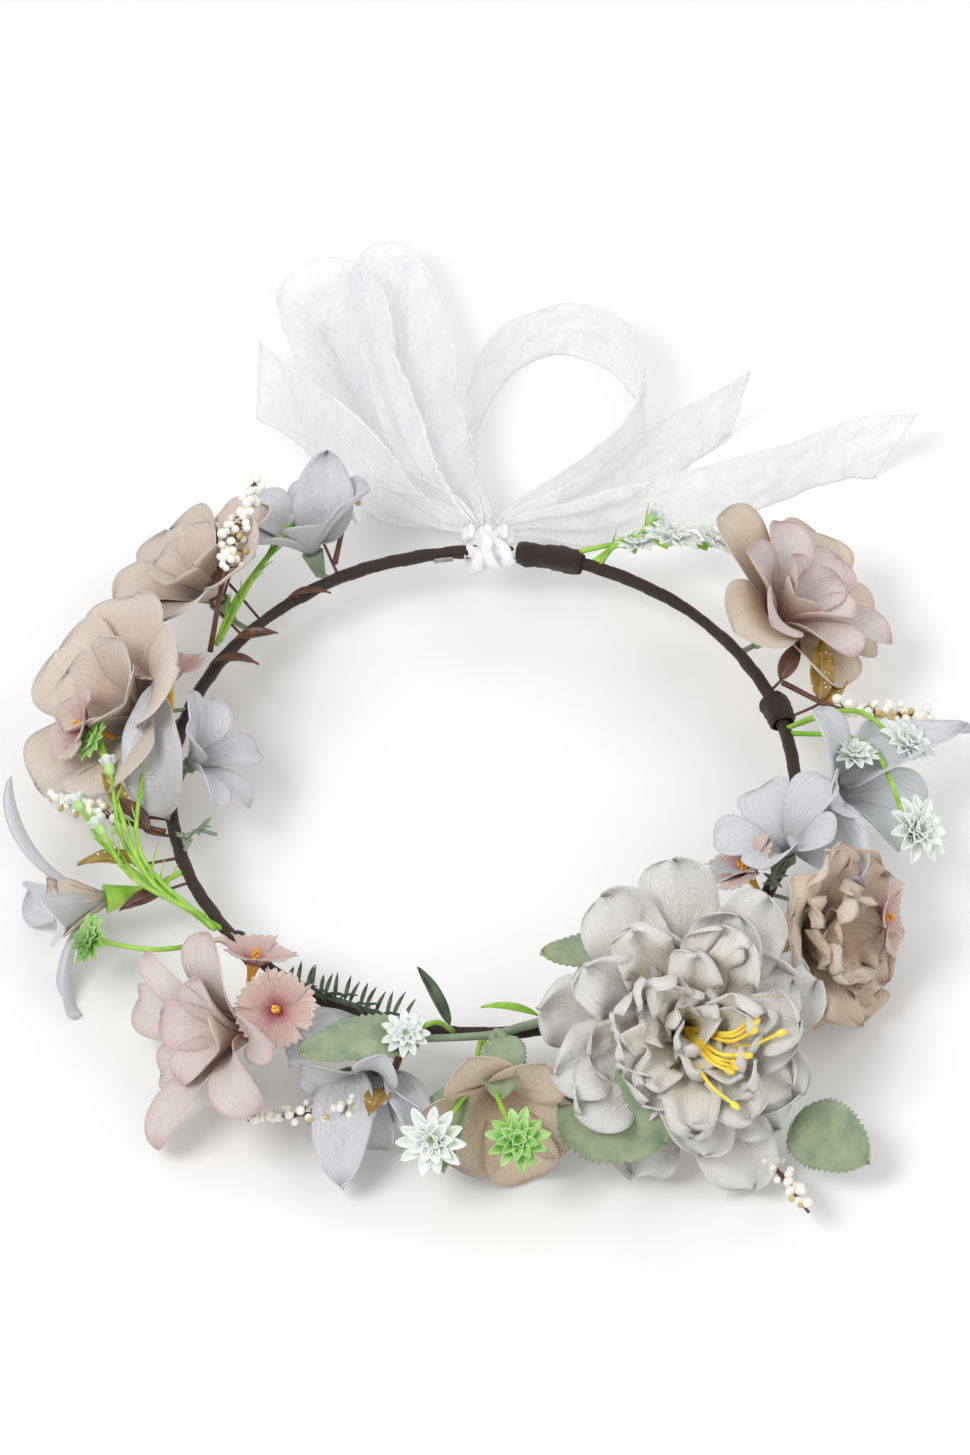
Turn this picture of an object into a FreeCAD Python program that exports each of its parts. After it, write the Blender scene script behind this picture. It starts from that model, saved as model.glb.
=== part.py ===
import FreeCAD, Part
import math
import os

# Flower crown: a taped wire hoop with fabric flowers, leaves and sprigs, and an organza bow at the back.
# Millimetres and degrees. The hoop's centre is the origin and the hoop lies in the XY plane.
# Angles run round the hoop: 0 is +X, 90 is the back (+Y), where the bow is tied, -90 is the front.

# ---- driving dimensions ----
HOOP_RADIUS = 95.0
WIRE_RADIUS = 0.9
WIRE_START = 78.0
WIRE_GAP = 0.4
WIRE_END_RADIUS = 0.8
WIRE_END_SPAN = (95.8, 99.5)
TAPE_RADIUS = 1.9
JOINT_WRAP_RADIUS = 4.0
JOINT_TAPER_RADIUS = 2.7
JOINT_WRAP = (74.0, 83.6)
JOINT_TAPER_START = 71.0
FRONT_LEFT_WRAP_RADIUS = 3.2
FRONT_LEFT_WRAP = (-142.0, -134.5)
RIGHT_WRAP_RADIUS = 4.4
RIGHT_WRAP = (15.0, 21.5)
FIT_GAP = 0.05
REST_HEIGHT = -24.0
PETAL_THICKNESS = 0.7
LEAF_THICKNESS = 0.6
STAR_THICKNESS = 0.9
STEM_RADIUS = 0.9
THIN_STEM_RADIUS = 0.7
TWIG_RADIUS = 0.6
CALYX_TIP_RADIUS = 1.6
BEAD_RADIUS = 1.4
BEAD_OFFSET = 1.5
BUD_RADIUS = 1.9

RIBBON_WIDTH = 24.0
RIBBON_THICKNESS = 0.6
RIBBON_WRAP_RADIUS = 2.2
RIBBON_WRAP_SPAN = (83.8, 93.6)
KNOT_CENTRE_X = 2.0
KNOT_SIZE = (8.0, 8.0, 6.0)
KNOT_HOLE_RADIUS = 3.2
KNOT_HOLE_Y = 94.8
THROAT_START_X = -6.5
THROAT_WIDTH = 15.0
THROAT_LENGTH = 4.0
BOW_START_Y = 104.0
BOW_FULL_Y = 140.0
BOW_END_Y = 240.0
BOW_START_HALF_WIDTH = 4.0
BOW_HALF_SPAN = 150.0

SMALLEST_FRAGMENT = 8.0
SMALLEST_OVERLAP = 0.01

V = FreeCAD.Vector
UP = V(0, 0, 1)
pieces = {}


# ---- placing ----
def around(radius, angle, height=0.0):
    """Point at a radius and an angle round the hoop's centre."""
    turn = math.radians(angle)
    return V(radius * math.cos(turn), radius * math.sin(turn), height)


def facing(azimuth, rise):
    """Unit direction with a compass azimuth and a rise above the horizontal."""
    turn = math.radians(azimuth)
    tilt = math.radians(rise)
    return V(math.cos(tilt) * math.cos(turn), math.cos(tilt) * math.sin(turn), math.sin(tilt))


def frame_on(origin, z_axis, x_hint):
    """Placement whose +Z is z_axis and whose +X leans towards x_hint."""
    z_dir = V(z_axis).normalize()
    y_dir = z_dir.cross(x_hint).normalize()
    x_dir = y_dir.cross(z_dir)
    return FreeCAD.Placement(FreeCAD.Matrix(
        x_dir.x, y_dir.x, z_dir.x, origin.x,
        x_dir.y, y_dir.y, z_dir.y, origin.y,
        x_dir.z, y_dir.z, z_dir.z, origin.z,
        0, 0, 0, 1))


def moved(shape, placement):
    copy = shape.copy()
    copy.Placement = placement.multiply(copy.Placement)
    return copy


# ---- basic shapes ----
def ring_arc(radius_outer, radius_inner, start, end, major=HOOP_RADIUS):
    """Hollow or solid stretch of the hoop between two angles."""
    arc = Part.makeTorus(major, radius_outer, V(0, 0, 0), UP, 0, 360, end - start)
    if radius_inner > 0:
        arc = arc.cut(Part.makeTorus(major, radius_inner, V(0, 0, 0), UP, 0, 360, end - start))
    arc.rotate(V(0, 0, 0), UP, start)
    return arc


def rod(points, radius):
    """Round rod through points, with ball joints."""
    shape = Part.makeSphere(radius, points[0])
    for near, far in zip(points, points[1:]):
        run = far - near
        stretch = Part.makeCylinder(radius, run.Length, near, run)
        shape = shape.fuse([stretch, Part.makeSphere(radius, far)])
    return shape.removeSplitter()


def petal_outline(count, reach, waist):
    """Outline of a die-cut flower layer: one curve per petal, meeting at a waist between petals."""
    pitch = 2 * math.pi / count
    edges = []
    for number in range(count):
        points = []
        for step in range(13):
            share = step / 12 - 0.5
            radius = reach * (waist + (1 - waist) * math.cos(math.pi * share) ** 0.7)
            turn = pitch * (number + share)
            points.append(V(radius * math.cos(turn), radius * math.sin(turn), 0))
        curve = Part.BSplineCurve()
        curve.interpolate(points)
        edges.append(curve.toShape())
    return Part.Face(Part.Wire(edges))


def star_outline(rays, reach, waist):
    """Pointed star."""
    corners = []
    for step in range(2 * rays):
        radius = reach if step % 2 == 0 else waist * reach
        turn = math.pi * step / rays
        corners.append(V(radius * math.cos(turn), radius * math.sin(turn), 0))
    return Part.Face(Part.makePolygon(corners + corners[:1]))


def leaf_outline(length, width):
    """Pointed oval from the origin along +X."""
    sides = []
    for side in (1, -1):
        curve = Part.BSplineCurve()
        curve.interpolate([
            V(0, 0, 0), V(0.2 * length, side * 0.36 * width, 0), V(0.5 * length, side * 0.5 * width, 0),
            V(0.8 * length, side * 0.3 * width, 0), V(length, 0, 0)])
        sides.append(curve.toShape())
    return Part.Face(Part.Wire(sides))


def dished(outline, ball, centre, thickness):
    """Sheet cut to an outline and pressed over a ball that stands on its underside."""
    shell = Part.makeSphere(ball, centre).cut(Part.makeSphere(ball - thickness, centre))
    prism = outline.extrude(V(0, 0, ball))
    if centre.z < 0:
        prism.translate(V(0, 0, -ball))
    return shell.common(prism)


def petal_layer(count, reach, ball, waist=0.35):
    return dished(petal_outline(count, reach, waist), ball, V(0, 0, ball), PETAL_THICKNESS)


def leaf(root, azimuth, rise, length, width):
    """Leaf arched lengthwise, its face turned up."""
    ball = 1.6 * length
    blade = dished(leaf_outline(length, width), ball, V(0.5 * length, 0, -ball), LEAF_THICKNESS)
    along = facing(azimuth, rise)
    face = facing(azimuth, rise + 90)
    return moved(blade, frame_on(root, face, along))


# ---- keeping ----
def above_rest(shape):
    """Soft tips that meet the table lie flat on it."""
    below = Part.makeBox(600, 600, 100, V(-300, -300, REST_HEIGHT - 100))
    return shape.cut(below) if shape.BoundBox.ZMin < REST_HEIGHT else shape


def keep(name, shape):
    """Store a piece after it gives way to the table and to every earlier piece that reaches into it."""
    solids = []
    for solid in above_rest(shape).Solids:
        near = [other for piece in pieces.values() for other in piece.Solids
                if other.BoundBox.intersect(solid.BoundBox)]
        for other in near:
            if solid.common(other).Volume > SMALLEST_OVERLAP:
                solid = solid.cut(other)
        parts = sorted(solid.Solids, key=lambda part: part.Volume)
        solids += [part for part in parts if part.Volume > SMALLEST_FRAGMENT or part is parts[-1]]
    pieces[name] = Part.makeCompound(solids) if len(solids) > 1 else solids[0]


# ---- hoop ----
def hoop():
    keep("core_wire", ring_arc(WIRE_RADIUS, 0, WIRE_START, WIRE_START + 360.0 - WIRE_GAP))
    quarters = {"tape_sleeve_back": 45.0, "tape_sleeve_left": 135.0,
                "tape_sleeve_front": 225.0, "tape_sleeve_right": 315.0}
    for name, start in quarters.items():
        keep(name, ring_arc(TAPE_RADIUS, WIRE_RADIUS + FIT_GAP, start, start + 90.0))
    wrap_bore = TAPE_RADIUS + FIT_GAP
    joint_wrap = ring_arc(JOINT_WRAP_RADIUS, wrap_bore, *JOINT_WRAP)
    joint_taper = ring_arc(JOINT_TAPER_RADIUS, wrap_bore, JOINT_TAPER_START, JOINT_WRAP[0])
    keep("tape_wrap_joint", joint_wrap.fuse(joint_taper))
    keep("tape_wrap_front_left", ring_arc(FRONT_LEFT_WRAP_RADIUS, wrap_bore, *FRONT_LEFT_WRAP))
    keep("tape_wrap_right", ring_arc(RIGHT_WRAP_RADIUS, wrap_bore, *RIGHT_WRAP))
    wire_end_track = HOOP_RADIUS - TAPE_RADIUS - WIRE_END_RADIUS
    keep("wire_end", ring_arc(WIRE_END_RADIUS, 0, *WIRE_END_SPAN, wire_end_track))
    keep("ribbon_wrap", ring_arc(RIBBON_WRAP_RADIUS, wrap_bore, *RIBBON_WRAP_SPAN))


# ---- ribbon bow: bands on edge, gathered at a knot that turns round the hoop ----
LEFT_TAIL = [(-6, 104), (-14, 111), (-34, 136), (-52, 160), (-72, 179)]
LEFT_LOOP_OUTER = [(-4.5, 104), (-14, 117), (-33, 148), (-48, 180), (-58, 208), (-50, 219), (-41, 210),
                   (-35, 180), (-25, 143), (-9, 115), (-3.2, 104)]
LEFT_LOOP_INNER = [(-1.8, 104), (-7, 118), (-19, 145), (-29, 180), (-35, 212), (-30, 226), (-23, 214),
                   (-18, 184), (-12, 146), (-3, 118), (0, 104)]
RIGHT_LOOP = [(2, 104), (0, 120), (-5, 148), (-2, 172), (8, 191), (25, 200), (42, 194), (51, 176),
              (48, 157), (34, 139), (14, 119), (4, 104)]
RIGHT_TAIL_UPPER = [(6, 104), (12, 111), (28, 123), (48, 141), (65, 154), (82, 168)]
RIGHT_TAIL_LOWER = [(8, 104), (16, 109), (32, 116), (52, 124), (75, 130), (96, 139), (115, 148), (131, 150)]


def band(plan):
    """Ribbon on edge along a plan curve, gathered towards the knot."""
    curve = Part.BSplineCurve()
    curve.interpolate([V(x, y, 0) for x, y in plan])
    first, last = curve.FirstParameter, curve.LastParameter
    steps = 6 * len(plan)
    left = []
    right = []
    for step in range(steps + 1):
        value = first + (last - first) * step / steps
        point = curve.value(value)
        heading = curve.tangent(value)[0]
        across = V(-heading.y, heading.x, 0).multiply(RIBBON_THICKNESS / 2)
        left.append(point + across)
        right.append(point - across)
    sides = []
    for points in (left, right):
        side = Part.BSplineCurve()
        side.interpolate(points)
        sides.append(side.toShape())
    caps = [Part.makeLine(left[0], right[0]), Part.makeLine(left[-1], right[-1])]
    outline = Part.Wire(Part.__sortEdges__(sides + caps))
    strip = Part.Face(outline).extrude(V(0, 0, 2 * RIBBON_WIDTH))
    strip.translate(V(0, 0, -1.5 * RIBBON_WIDTH))
    top = REST_HEIGHT + RIBBON_WIDTH
    side_view = [
        (BOW_START_Y, -BOW_START_HALF_WIDTH), (BOW_START_Y, BOW_START_HALF_WIDTH), (BOW_FULL_Y, top),
        (BOW_END_Y, top), (BOW_END_Y, REST_HEIGHT), (BOW_FULL_Y, REST_HEIGHT),
        (BOW_START_Y, -BOW_START_HALF_WIDTH)]
    gather = Part.Face(Part.makePolygon([V(-BOW_HALF_SPAN, y, z) for y, z in side_view]))
    return strip.common(gather.extrude(V(2 * BOW_HALF_SPAN, 0, 0)))


def knot():
    size_x, size_y, size_z = KNOT_SIZE
    squeeze = FreeCAD.Matrix()
    squeeze.scale(size_x, size_y, size_z)
    lump = Part.makeSphere(1.0).transformGeometry(squeeze)
    lump.translate(V(KNOT_CENTRE_X, HOOP_RADIUS, 0))
    throat_corner = V(THROAT_START_X, BOW_START_Y - THROAT_LENGTH, -BOW_START_HALF_WIDTH)
    throat = Part.makeBox(THROAT_WIDTH, THROAT_LENGTH, 2 * BOW_START_HALF_WIDTH, throat_corner)
    hole_start = V(KNOT_CENTRE_X - 2 * size_x, KNOT_HOLE_Y, 0)
    hole = Part.makeCylinder(KNOT_HOLE_RADIUS, 4 * size_x, hole_start, V(1, 0, 0))
    return lump.fuse(throat).cut(hole)


def bow():
    pieces["ribbon_knot"] = knot()
    keep("ribbon_left_tail", band(LEFT_TAIL))
    keep("ribbon_left_loop_outer", band(LEFT_LOOP_OUTER))
    keep("ribbon_left_loop_inner", band(LEFT_LOOP_INNER))
    keep("ribbon_right_loop", band(RIGHT_LOOP))
    keep("ribbon_right_tail_upper", band(RIGHT_TAIL_UPPER))
    keep("ribbon_right_tail_lower", band(RIGHT_TAIL_LOWER))


# ---- flowers ----
# Each bloom: where its stem leaves the hoop, where its petals start, and the way it faces.
BLOOMS = {
    "peony": dict(hoop=-64, base=(112, -59, 6), face=(-80, 46), calyx=(9, 5)),
    "right_magnolia": dict(hoop=34, base=(109, 35, 1), face=(5, 55), calyx=(9, 4)),
    "left_magnolia": dict(hoop=-131, base=(116, -126, -1), face=(-152, 28), calyx=(9, 4)),
    "left_blush": dict(hoop=163, base=(106, 166, 1), face=(-172, 48), calyx=(8, 3.5)),
    "back_left_blush": dict(hoop=139, base=(110, 138, 1), face=(150, 55), calyx=(8, 3.5)),
    "back_grey": dict(hoop=119, base=(106, 120, 3), face=(128, 60), calyx=(8, 3.5)),
    "carnation": dict(hoop=-33, base=(110, -32, 0), face=(-26, 26), calyx=(9, 4)),
    "front_blush": dict(hoop=-88, base=(112, -88, -3), face=(-86, 12), calyx=(9, 4)),
    "right_lily": dict(hoop=-3, base=(106, -3, 1), face=(-10, 48), calyx=(8, 3)),
    "inner_left": dict(hoop=176, base=(89, 177, 5), face=(-8, 48), calyx=(5, 2.5)),
    "inner_right": dict(hoop=-21, base=(97, -19, 7), face=(150, 72), calyx=(4, 2.5)),
    "front_grey": dict(hoop=-108, base=(109, -107, -5), face=(-106, 4), calyx=(7, 3)),
    "left_trumpet": dict(hoop=-160, base=(121, -160, -3), face=(-165, 2), calyx=(12, 4.5)),
}

# Petal layers of each bloom: count of petals, reach from the axis, ball radius of the cup, waist, turn, lift.
LAYERS = {
    "peony_outer_petals": ("peony", [(9, 45, 58, 0.55, 0, 0), (8, 39, 47, 0.5, 20, 2)]),
    "peony_middle_petals": ("peony", [(8, 31, 35, 0.5, 8, 5), (7, 25, 28, 0.5, 30, 7)]),
    "peony_inner_petals": ("peony", [(6, 18, 20, 0.5, 0, 10)]),
    "right_magnolia_outer_petals": ("right_magnolia", [(5, 32, 38, 0.3, 10, 0)]),
    "right_magnolia_inner_petals": ("right_magnolia", [(5, 23, 25, 0.35, 46, 2)]),
    "left_magnolia_outer_petals": ("left_magnolia", [(6, 30, 33, 0.3, 0, 0)]),
    "left_magnolia_inner_petals": ("left_magnolia", [(3, 18, 20, 0.35, 30, 2)]),
    "left_blush_outer_petals": ("left_blush", [(5, 32, 37, 0.45, 0, 0)]),
    "left_blush_inner_petals": ("left_blush", [(4, 20, 23, 0.5, 36, 2)]),
    "back_left_blush_petals": ("back_left_blush", [(5, 28, 32, 0.4, 18, 0), (4, 17, 19, 0.5, 0, 2)]),
    "back_grey_petals": ("back_grey", [(5, 23, 27, 0.4, 0, 0)]),
    "carnation_outer_petals": ("carnation", [(6, 28, 31, 0.5, 0, 0)]),
    "carnation_inner_petals": ("carnation", [(6, 19, 21, 0.55, 30, 2)]),
    "front_blush_petals": ("front_blush", [(5, 24, 28, 0.4, 54, 0)]),
    "right_lily_petals": ("right_lily", [(5, 32, 40, 0.25, 0, 0)]),
    "inner_left_petals": ("inner_left", [(5, 15, 18, 0.3, 0, 0)]),
    "inner_right_petals": ("inner_right", [(5, 20, 26, 0.35, 20, 0)]),
    "front_grey_petals": ("front_grey", [(4, 20, 23, 0.3, 0, 0)]),
    "left_trumpet_petals": ("left_trumpet", [(4, 42, 55, 0.26, 0, 0)]),
}


def bloom_placement(name):
    bloom = BLOOMS[name]
    face = facing(*bloom["face"])
    return frame_on(around(*bloom["base"]), face, UP.cross(face))


def stem_and_calyx(name):
    """Wire stem from the hoop's tape to a cone that holds the petals."""
    bloom = BLOOMS[name]
    length, radius = bloom["calyx"]
    place = bloom_placement(name)
    cone = moved(Part.makeCone(CALYX_TIP_RADIUS, radius, length, V(0, 0, -length - 0.02)), place)
    foot = place.multVec(V(0, 0, -length))
    return rod([around(HOOP_RADIUS, bloom["hoop"]), foot], STEM_RADIUS).fuse(cone)


def petals(name):
    """Die-cut layers threaded one above the other on the bloom's axis."""
    bloom, rows = LAYERS[name]
    place = bloom_placement(bloom)
    layers = []
    for count, reach, ball, waist, turn, lift in rows:
        layer = petal_layer(count, reach, ball, waist)
        layer.rotate(V(0, 0, 0), UP, turn)
        layer.translate(V(0, 0, lift))
        layers.append(moved(layer, place))
    return Part.makeCompound(layers) if len(layers) > 1 else layers[0]


def peony_stamens():
    """Filaments that fan out of one foot above the innermost petals."""
    place = bloom_placement("peony")
    foot = V(0, 0, 11.2)
    filaments = []
    for number in range(7):
        turn = 2 * math.pi * number / 7
        tip = V(9 * math.cos(turn), 9 * math.sin(turn), 26)
        filaments.append(rod([foot, tip], 0.5).fuse(Part.makeSphere(1.1, tip)))
    return moved(joined(filaments), place)


# ---- small blossoms: hoop angle of the stem, base of the petals, facing ----
PINK_BLOSSOMS = [
    (-126, (112, -123, 10), (-100, 55)),
    (-131, (103, -131.5, 10), (70, 50)),
    (-27, (89, -27, 8), (150, 55)),
    (-26, (130, -24.5, 4), (-12, 12)),
    (170, (121, 173, 10), (178, 28)),
    (161, (101, 162, 12), (100, 55)),
]
PINK_REACH = 11.5
PINK_TUBE = 9.0

# hoop angle of the stem, base, facing, reach
STAR_FLOWERS = [
    (14, (112, 0, 13), (60, 72), 7.0),
    (14, (128, 2, 13), (20, 60), 8.5),
    (13, (132, -12, 11), (-20, 52), 10.5),
    (-90, (139, -96, 5), (-104, 48), 9.5),
    (-90, (141, -86, 8), (-78, 58), 8.5),
    (-95, (109, -102, 14), (-90, 70), 6.5),
    (-142, (131, -152.5, 1), (-165, 40), 7.0),
    (-143, (117, 176, 11), (170, 35), 6.5),
    (69, (109, 58, 7), (60, 60), 9.0),
    (70, (117, 53, 5), (40, 40), 7.0),
    (68, (103, 62.5, 6), (90, 65), 6.0),
]
STAR_RAYS = 12

# stem paths (radius, angle, height) that end in a bud
LIME_STEMS = [
    [(99, -144, 3), (108, -162, 8), (103, -179, 12)],
    [(99, -145, 2), (111, -163, 7), (113, -178, 13)],
    [(99, -146, 3), (115, -164, 5), (123, -173, 9)],
    [(99, -147, 4), (113, -158, 8), (118, -167, 12)],
    [(98, 147, 4), (104, 137, 6), (114, 122, 9)],
    [(98, 146, 4), (106, 131, 8), (119, 116.5, 10)],
    [(97, 72, 3), (106, 64, 6), (112, 62, 11)],
]

BEAD_SPRIGS = [
    ([(98, 149, 4), (103, 140, 25), (119, 126, 33)], 12),
    ([(98, 118, 4), (110, 113, 9), (121, 110, 10)], 7),
    ([(99, 22, 5), (113, 12, 8), (138, 8.5, 9)], 12),
    ([(98, -168, 3), (113, -171.5, 5), (131, -176, 6)], 9),
    ([(97, -103, -2), (121, -106, -5), (141, -119.5, -6)], 13),
    ([(97, -62, -3), (140, -57, -15), (180, -58, -11)], 9),
]

# leaves: root (radius, angle, height), azimuth, rise, length, width
GOLD_LEAVES = [
    ((107, 16, 4), 88, 12, 22, 8),
    ((107, 14, 3), 60, -5, 17, 6),
    ((119, -104, -2), -112, 15, 13, 8),
    ((107, 118, 7), 104, 20, 13, 7),
    ((107, -163, 1), 186, 5, 20, 7),
    ((108, -172, 5), 128, 25, 15, 6),
]
BROWN_LEAVES = [
    ((99, 23, 4), 62, 20, 14, 6),
    ((95, 129, 3), -4, 10, 13, 3.5),
    ((95, 143, 3), -2, 10, 13, 4),
    ((95, 150, 3), -14, 8, 14, 4.5),
    ((108, 141, 7), 74, 30, 12, 4.5),
    ((110, 136, 7), 165, 20, 12, 4.5),
    ((103, -168, 4), 140, 20, 15, 6),
    ((104, -157, 0), 205, -8, 15, 5),
]
FLOCKED_LEAVES = [
    ((91, -57, 6), 172, 4, 33, 17),
    ((122, -79, 2), -28, -3, 35, 28),
    ((150, -52, -12), -40, 5, 28, 22),
    ((105.5, -100, 9), 192, 4, 37, 16),
    ((105, -86, 11), -96, -8, 22, 14),
    ((112, -94, -3), -97, -8, 30, 17),
]
BLADES = [
    ((95, -96, 3), 122, 24, 20, 4),
    ((93, -80, 4), 176, 8, 17, 3),
]
ROSEMARY = [(98.5, -126, 4), (97, -115, 6), (98, -103, 5)]


def joined(shapes):
    return shapes[0].fuse(shapes[1:]) if len(shapes) > 1 else shapes[0]


def path(points):
    return [around(*point) for point in points]


def small_frame(base, face):
    toward = facing(*face)
    return frame_on(around(*base), toward, UP.cross(toward))


def pink_blossoms():
    """Serrated five-petal blossoms, each on an orange tube that carries its stamen through the petals."""
    tubes = []
    layers = []
    for hoop_angle, base, face in PINK_BLOSSOMS:
        place = small_frame(base, face)
        tube = Part.makeCone(0.9, 2.0, PINK_TUBE, V(0, 0, -PINK_TUBE)).fuse(Part.makeCylinder(0.8, 5))
        root = around(HOOP_RADIUS, hoop_angle)
        stem = rod([root, place.multVec(V(0, 0, -PINK_TUBE))], THIN_STEM_RADIUS)
        tubes.append(moved(tube, place).fuse(stem))
        layers.append(moved(petal_layer(5, PINK_REACH, 14, 0.3), place))
    keep("pink_blossom_tubes", joined(tubes))
    return joined(layers)


def star_flowers():
    """Moulded stars, each on a lime stem that runs to the hoop."""
    heads = []
    stems = []
    for hoop_angle, base, face, reach in STAR_FLOWERS:
        place = small_frame(base, face)
        star = dished(star_outline(STAR_RAYS, reach, 0.5), 1.6 * reach, V(0, 0, 1.6 * reach), STAR_THICKNESS)
        heads.append(moved(star, place))
        knee = around(0.4 * HOOP_RADIUS + 0.6 * base[0], 0.6 * hoop_angle + 0.4 * base[1], base[2] + 1)
        if abs(hoop_angle - base[1]) > 180:
            knee = around(HOOP_RADIUS + 14, -158, base[2] - 3)
        under = place.multVec(V(0, 0, -THIN_STEM_RADIUS))
        stems.append(rod([around(HOOP_RADIUS, hoop_angle), knee, under], THIN_STEM_RADIUS))
    return joined(heads), stems


def lime_stems(stems):
    for points in LIME_STEMS:
        run = path(points)
        stems.append(rod(run, THIN_STEM_RADIUS).fuse(Part.makeSphere(BUD_RADIUS, run[-1])))
    return joined(stems)


def bead_sprigs():
    """Thin stems with beads wound round their outer stretch."""
    sprigs = []
    for points, count in BEAD_SPRIGS:
        near, middle, far = path(points)
        solids = [rod([near, middle, far], THIN_STEM_RADIUS)]
        level = (far - middle).cross(UP).normalize()
        raised = level.cross(far - middle).normalize()
        for number in range(count):
            centre = middle + (far - middle) * ((number + 0.5) / count)
            turn = math.radians(137 * number)
            side = level * math.cos(turn) + raised * math.sin(turn)
            solids.append(Part.makeSphere(BEAD_RADIUS, centre + side * BEAD_OFFSET))
        sprigs.append(joined(solids))
    return joined(sprigs)


def leaves(table):
    return joined([leaf(around(*root), *shape) for root, *shape in table])


def flocked_sprigs():
    """Flocked leaves and the thick stem that the front ones share."""
    stem = rod([V(24, -91, 4), V(2, -101, 7), V(-18, -104, 8.6)], 1.2)
    side = rod([V(2, -101, 7), V(12, -113, 5), V(22, -120, 2)], 1.0)
    return joined([stem, side, leaves(FLOCKED_LEAVES)])


def rosemary_sprig():
    """Dark sprig laid along the hoop, with needles on both sides."""
    run = path(ROSEMARY)
    solids = [rod(run, TWIG_RADIUS)]
    for number in range(16):
        share = (number + 0.5) / 8
        leg = int(share)
        foot = run[leg] + (run[leg + 1] - run[leg]) * (share - leg)
        heading = 20 + 110 * (number % 2) - 60
        solids.append(rod([foot, foot + facing(heading, 25) * 7], 0.45))
    return joined(solids)


def thin_sprigs():
    """Grass blades at the front and short grey twigs at the two sides."""
    twigs = [
        rod([around(95, -176), around(90, 179, 6), around(86, 176, 9)], TWIG_RADIUS),
        rod([around(95, -163), around(90, -166, 5), around(84, -163, 7)], TWIG_RADIUS),
        rod([around(95, -22), around(98, -27, 8), around(91, -19, 11)], TWIG_RADIUS),
    ]
    return joined(twigs + [leaves(BLADES)])


def main():
    hoop()
    bow()
    for name in BLOOMS:
        keep(name + "_stem", stem_and_calyx(name))
    pink_petals = pink_blossoms()
    stars, stems = star_flowers()
    keep("lime_stems", lime_stems(stems))
    keep("bead_sprigs", bead_sprigs())
    keep("rosemary_sprig", rosemary_sprig())
    keep("thin_sprigs", thin_sprigs())
    keep("gold_leaves", leaves(GOLD_LEAVES))
    keep("brown_leaves", leaves(BROWN_LEAVES))
    keep("flocked_leaves", flocked_sprigs())
    keep("star_flowers", stars)
    keep("pink_blossom_petals", pink_petals)
    keep("peony_stamens", peony_stamens())
    for name in LAYERS:
        keep(name, petals(name))
    for name, shape in pieces.items():
        shape.exportStep("parts/" + name + ".step")


os.makedirs("parts", exist_ok=True)
main()
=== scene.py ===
import math
import random

import bpy
from mathutils import Matrix, Vector, noise


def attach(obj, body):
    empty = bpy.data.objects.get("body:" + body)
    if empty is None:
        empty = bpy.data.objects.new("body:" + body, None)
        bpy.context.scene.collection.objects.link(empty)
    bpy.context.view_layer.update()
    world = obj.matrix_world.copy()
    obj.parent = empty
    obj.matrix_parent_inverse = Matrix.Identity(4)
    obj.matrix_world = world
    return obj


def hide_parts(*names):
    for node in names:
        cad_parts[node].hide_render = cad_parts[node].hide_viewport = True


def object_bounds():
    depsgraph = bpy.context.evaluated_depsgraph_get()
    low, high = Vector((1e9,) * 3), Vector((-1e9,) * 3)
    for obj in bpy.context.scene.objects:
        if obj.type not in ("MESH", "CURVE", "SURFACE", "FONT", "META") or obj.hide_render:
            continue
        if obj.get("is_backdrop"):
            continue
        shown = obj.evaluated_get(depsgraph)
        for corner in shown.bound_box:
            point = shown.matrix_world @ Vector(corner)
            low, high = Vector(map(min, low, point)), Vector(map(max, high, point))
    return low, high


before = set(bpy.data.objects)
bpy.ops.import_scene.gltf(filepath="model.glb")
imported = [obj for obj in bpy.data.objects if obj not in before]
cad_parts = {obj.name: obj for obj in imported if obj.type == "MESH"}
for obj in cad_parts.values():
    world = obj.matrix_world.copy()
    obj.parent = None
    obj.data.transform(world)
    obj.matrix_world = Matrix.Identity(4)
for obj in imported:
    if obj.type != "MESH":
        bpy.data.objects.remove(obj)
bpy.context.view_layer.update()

# Flower crown. Lengths are in millimetres and angles in degrees. A place is a radius from the hoop's centre,
# an angle round the hoop (0 is +X, 90 is the back, -90 is the front) and a height over the hoop's plane.
MM = 0.001
UP = Vector((0, 0, 1))
GOLDEN_ANGLE = 137.5
HOOP_RADIUS = 95.0
REST_HEIGHT = -24.0
RIBBON_WIDTH = 24.0
RIBBON_THICKNESS = 0.12
PETAL_THICKNESS = 0.35
THIN_PETAL_THICKNESS = 0.3
LEAF_THICKNESS = 0.5
NEEDLE_THICKNESS = 0.25

# how far petals of one whorl differ from each other
HUB_LEAN_STRAY = 5
TIP_LEAN_STRAY = 9
TWIST_STRAY = 0.16
SWAY_STRAY = 0.08
SIZE_STRAY = (-0.08, 0.05)
ROW_CROWDING = 1.7
NARROWEST = 0.03

WEAVE_PITCH = 0.00035
ORGANZA_PITCH = 0.0003


# --- placing
def around(radius, angle, height=0.0):
    turn = math.radians(angle)
    return Vector((radius * math.cos(turn), radius * math.sin(turn), height))


def facing(azimuth, rise):
    turn = math.radians(azimuth)
    tilt = math.radians(rise)
    return Vector((math.cos(tilt) * math.cos(turn), math.cos(tilt) * math.sin(turn), math.sin(tilt)))


def frame_on(origin, z_axis, x_hint=None):
    z_dir = z_axis.normalized()
    x_dir = (x_hint or UP.cross(z_dir)).normalized()
    y_dir = z_dir.cross(x_dir).normalized()
    x_dir = y_dir.cross(z_dir)
    turn = Matrix((x_dir, y_dir, z_dir)).transposed().to_4x4()
    return Matrix.Translation(origin) @ turn


def mix(a, b, share):
    return a + (b - a) * share


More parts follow.
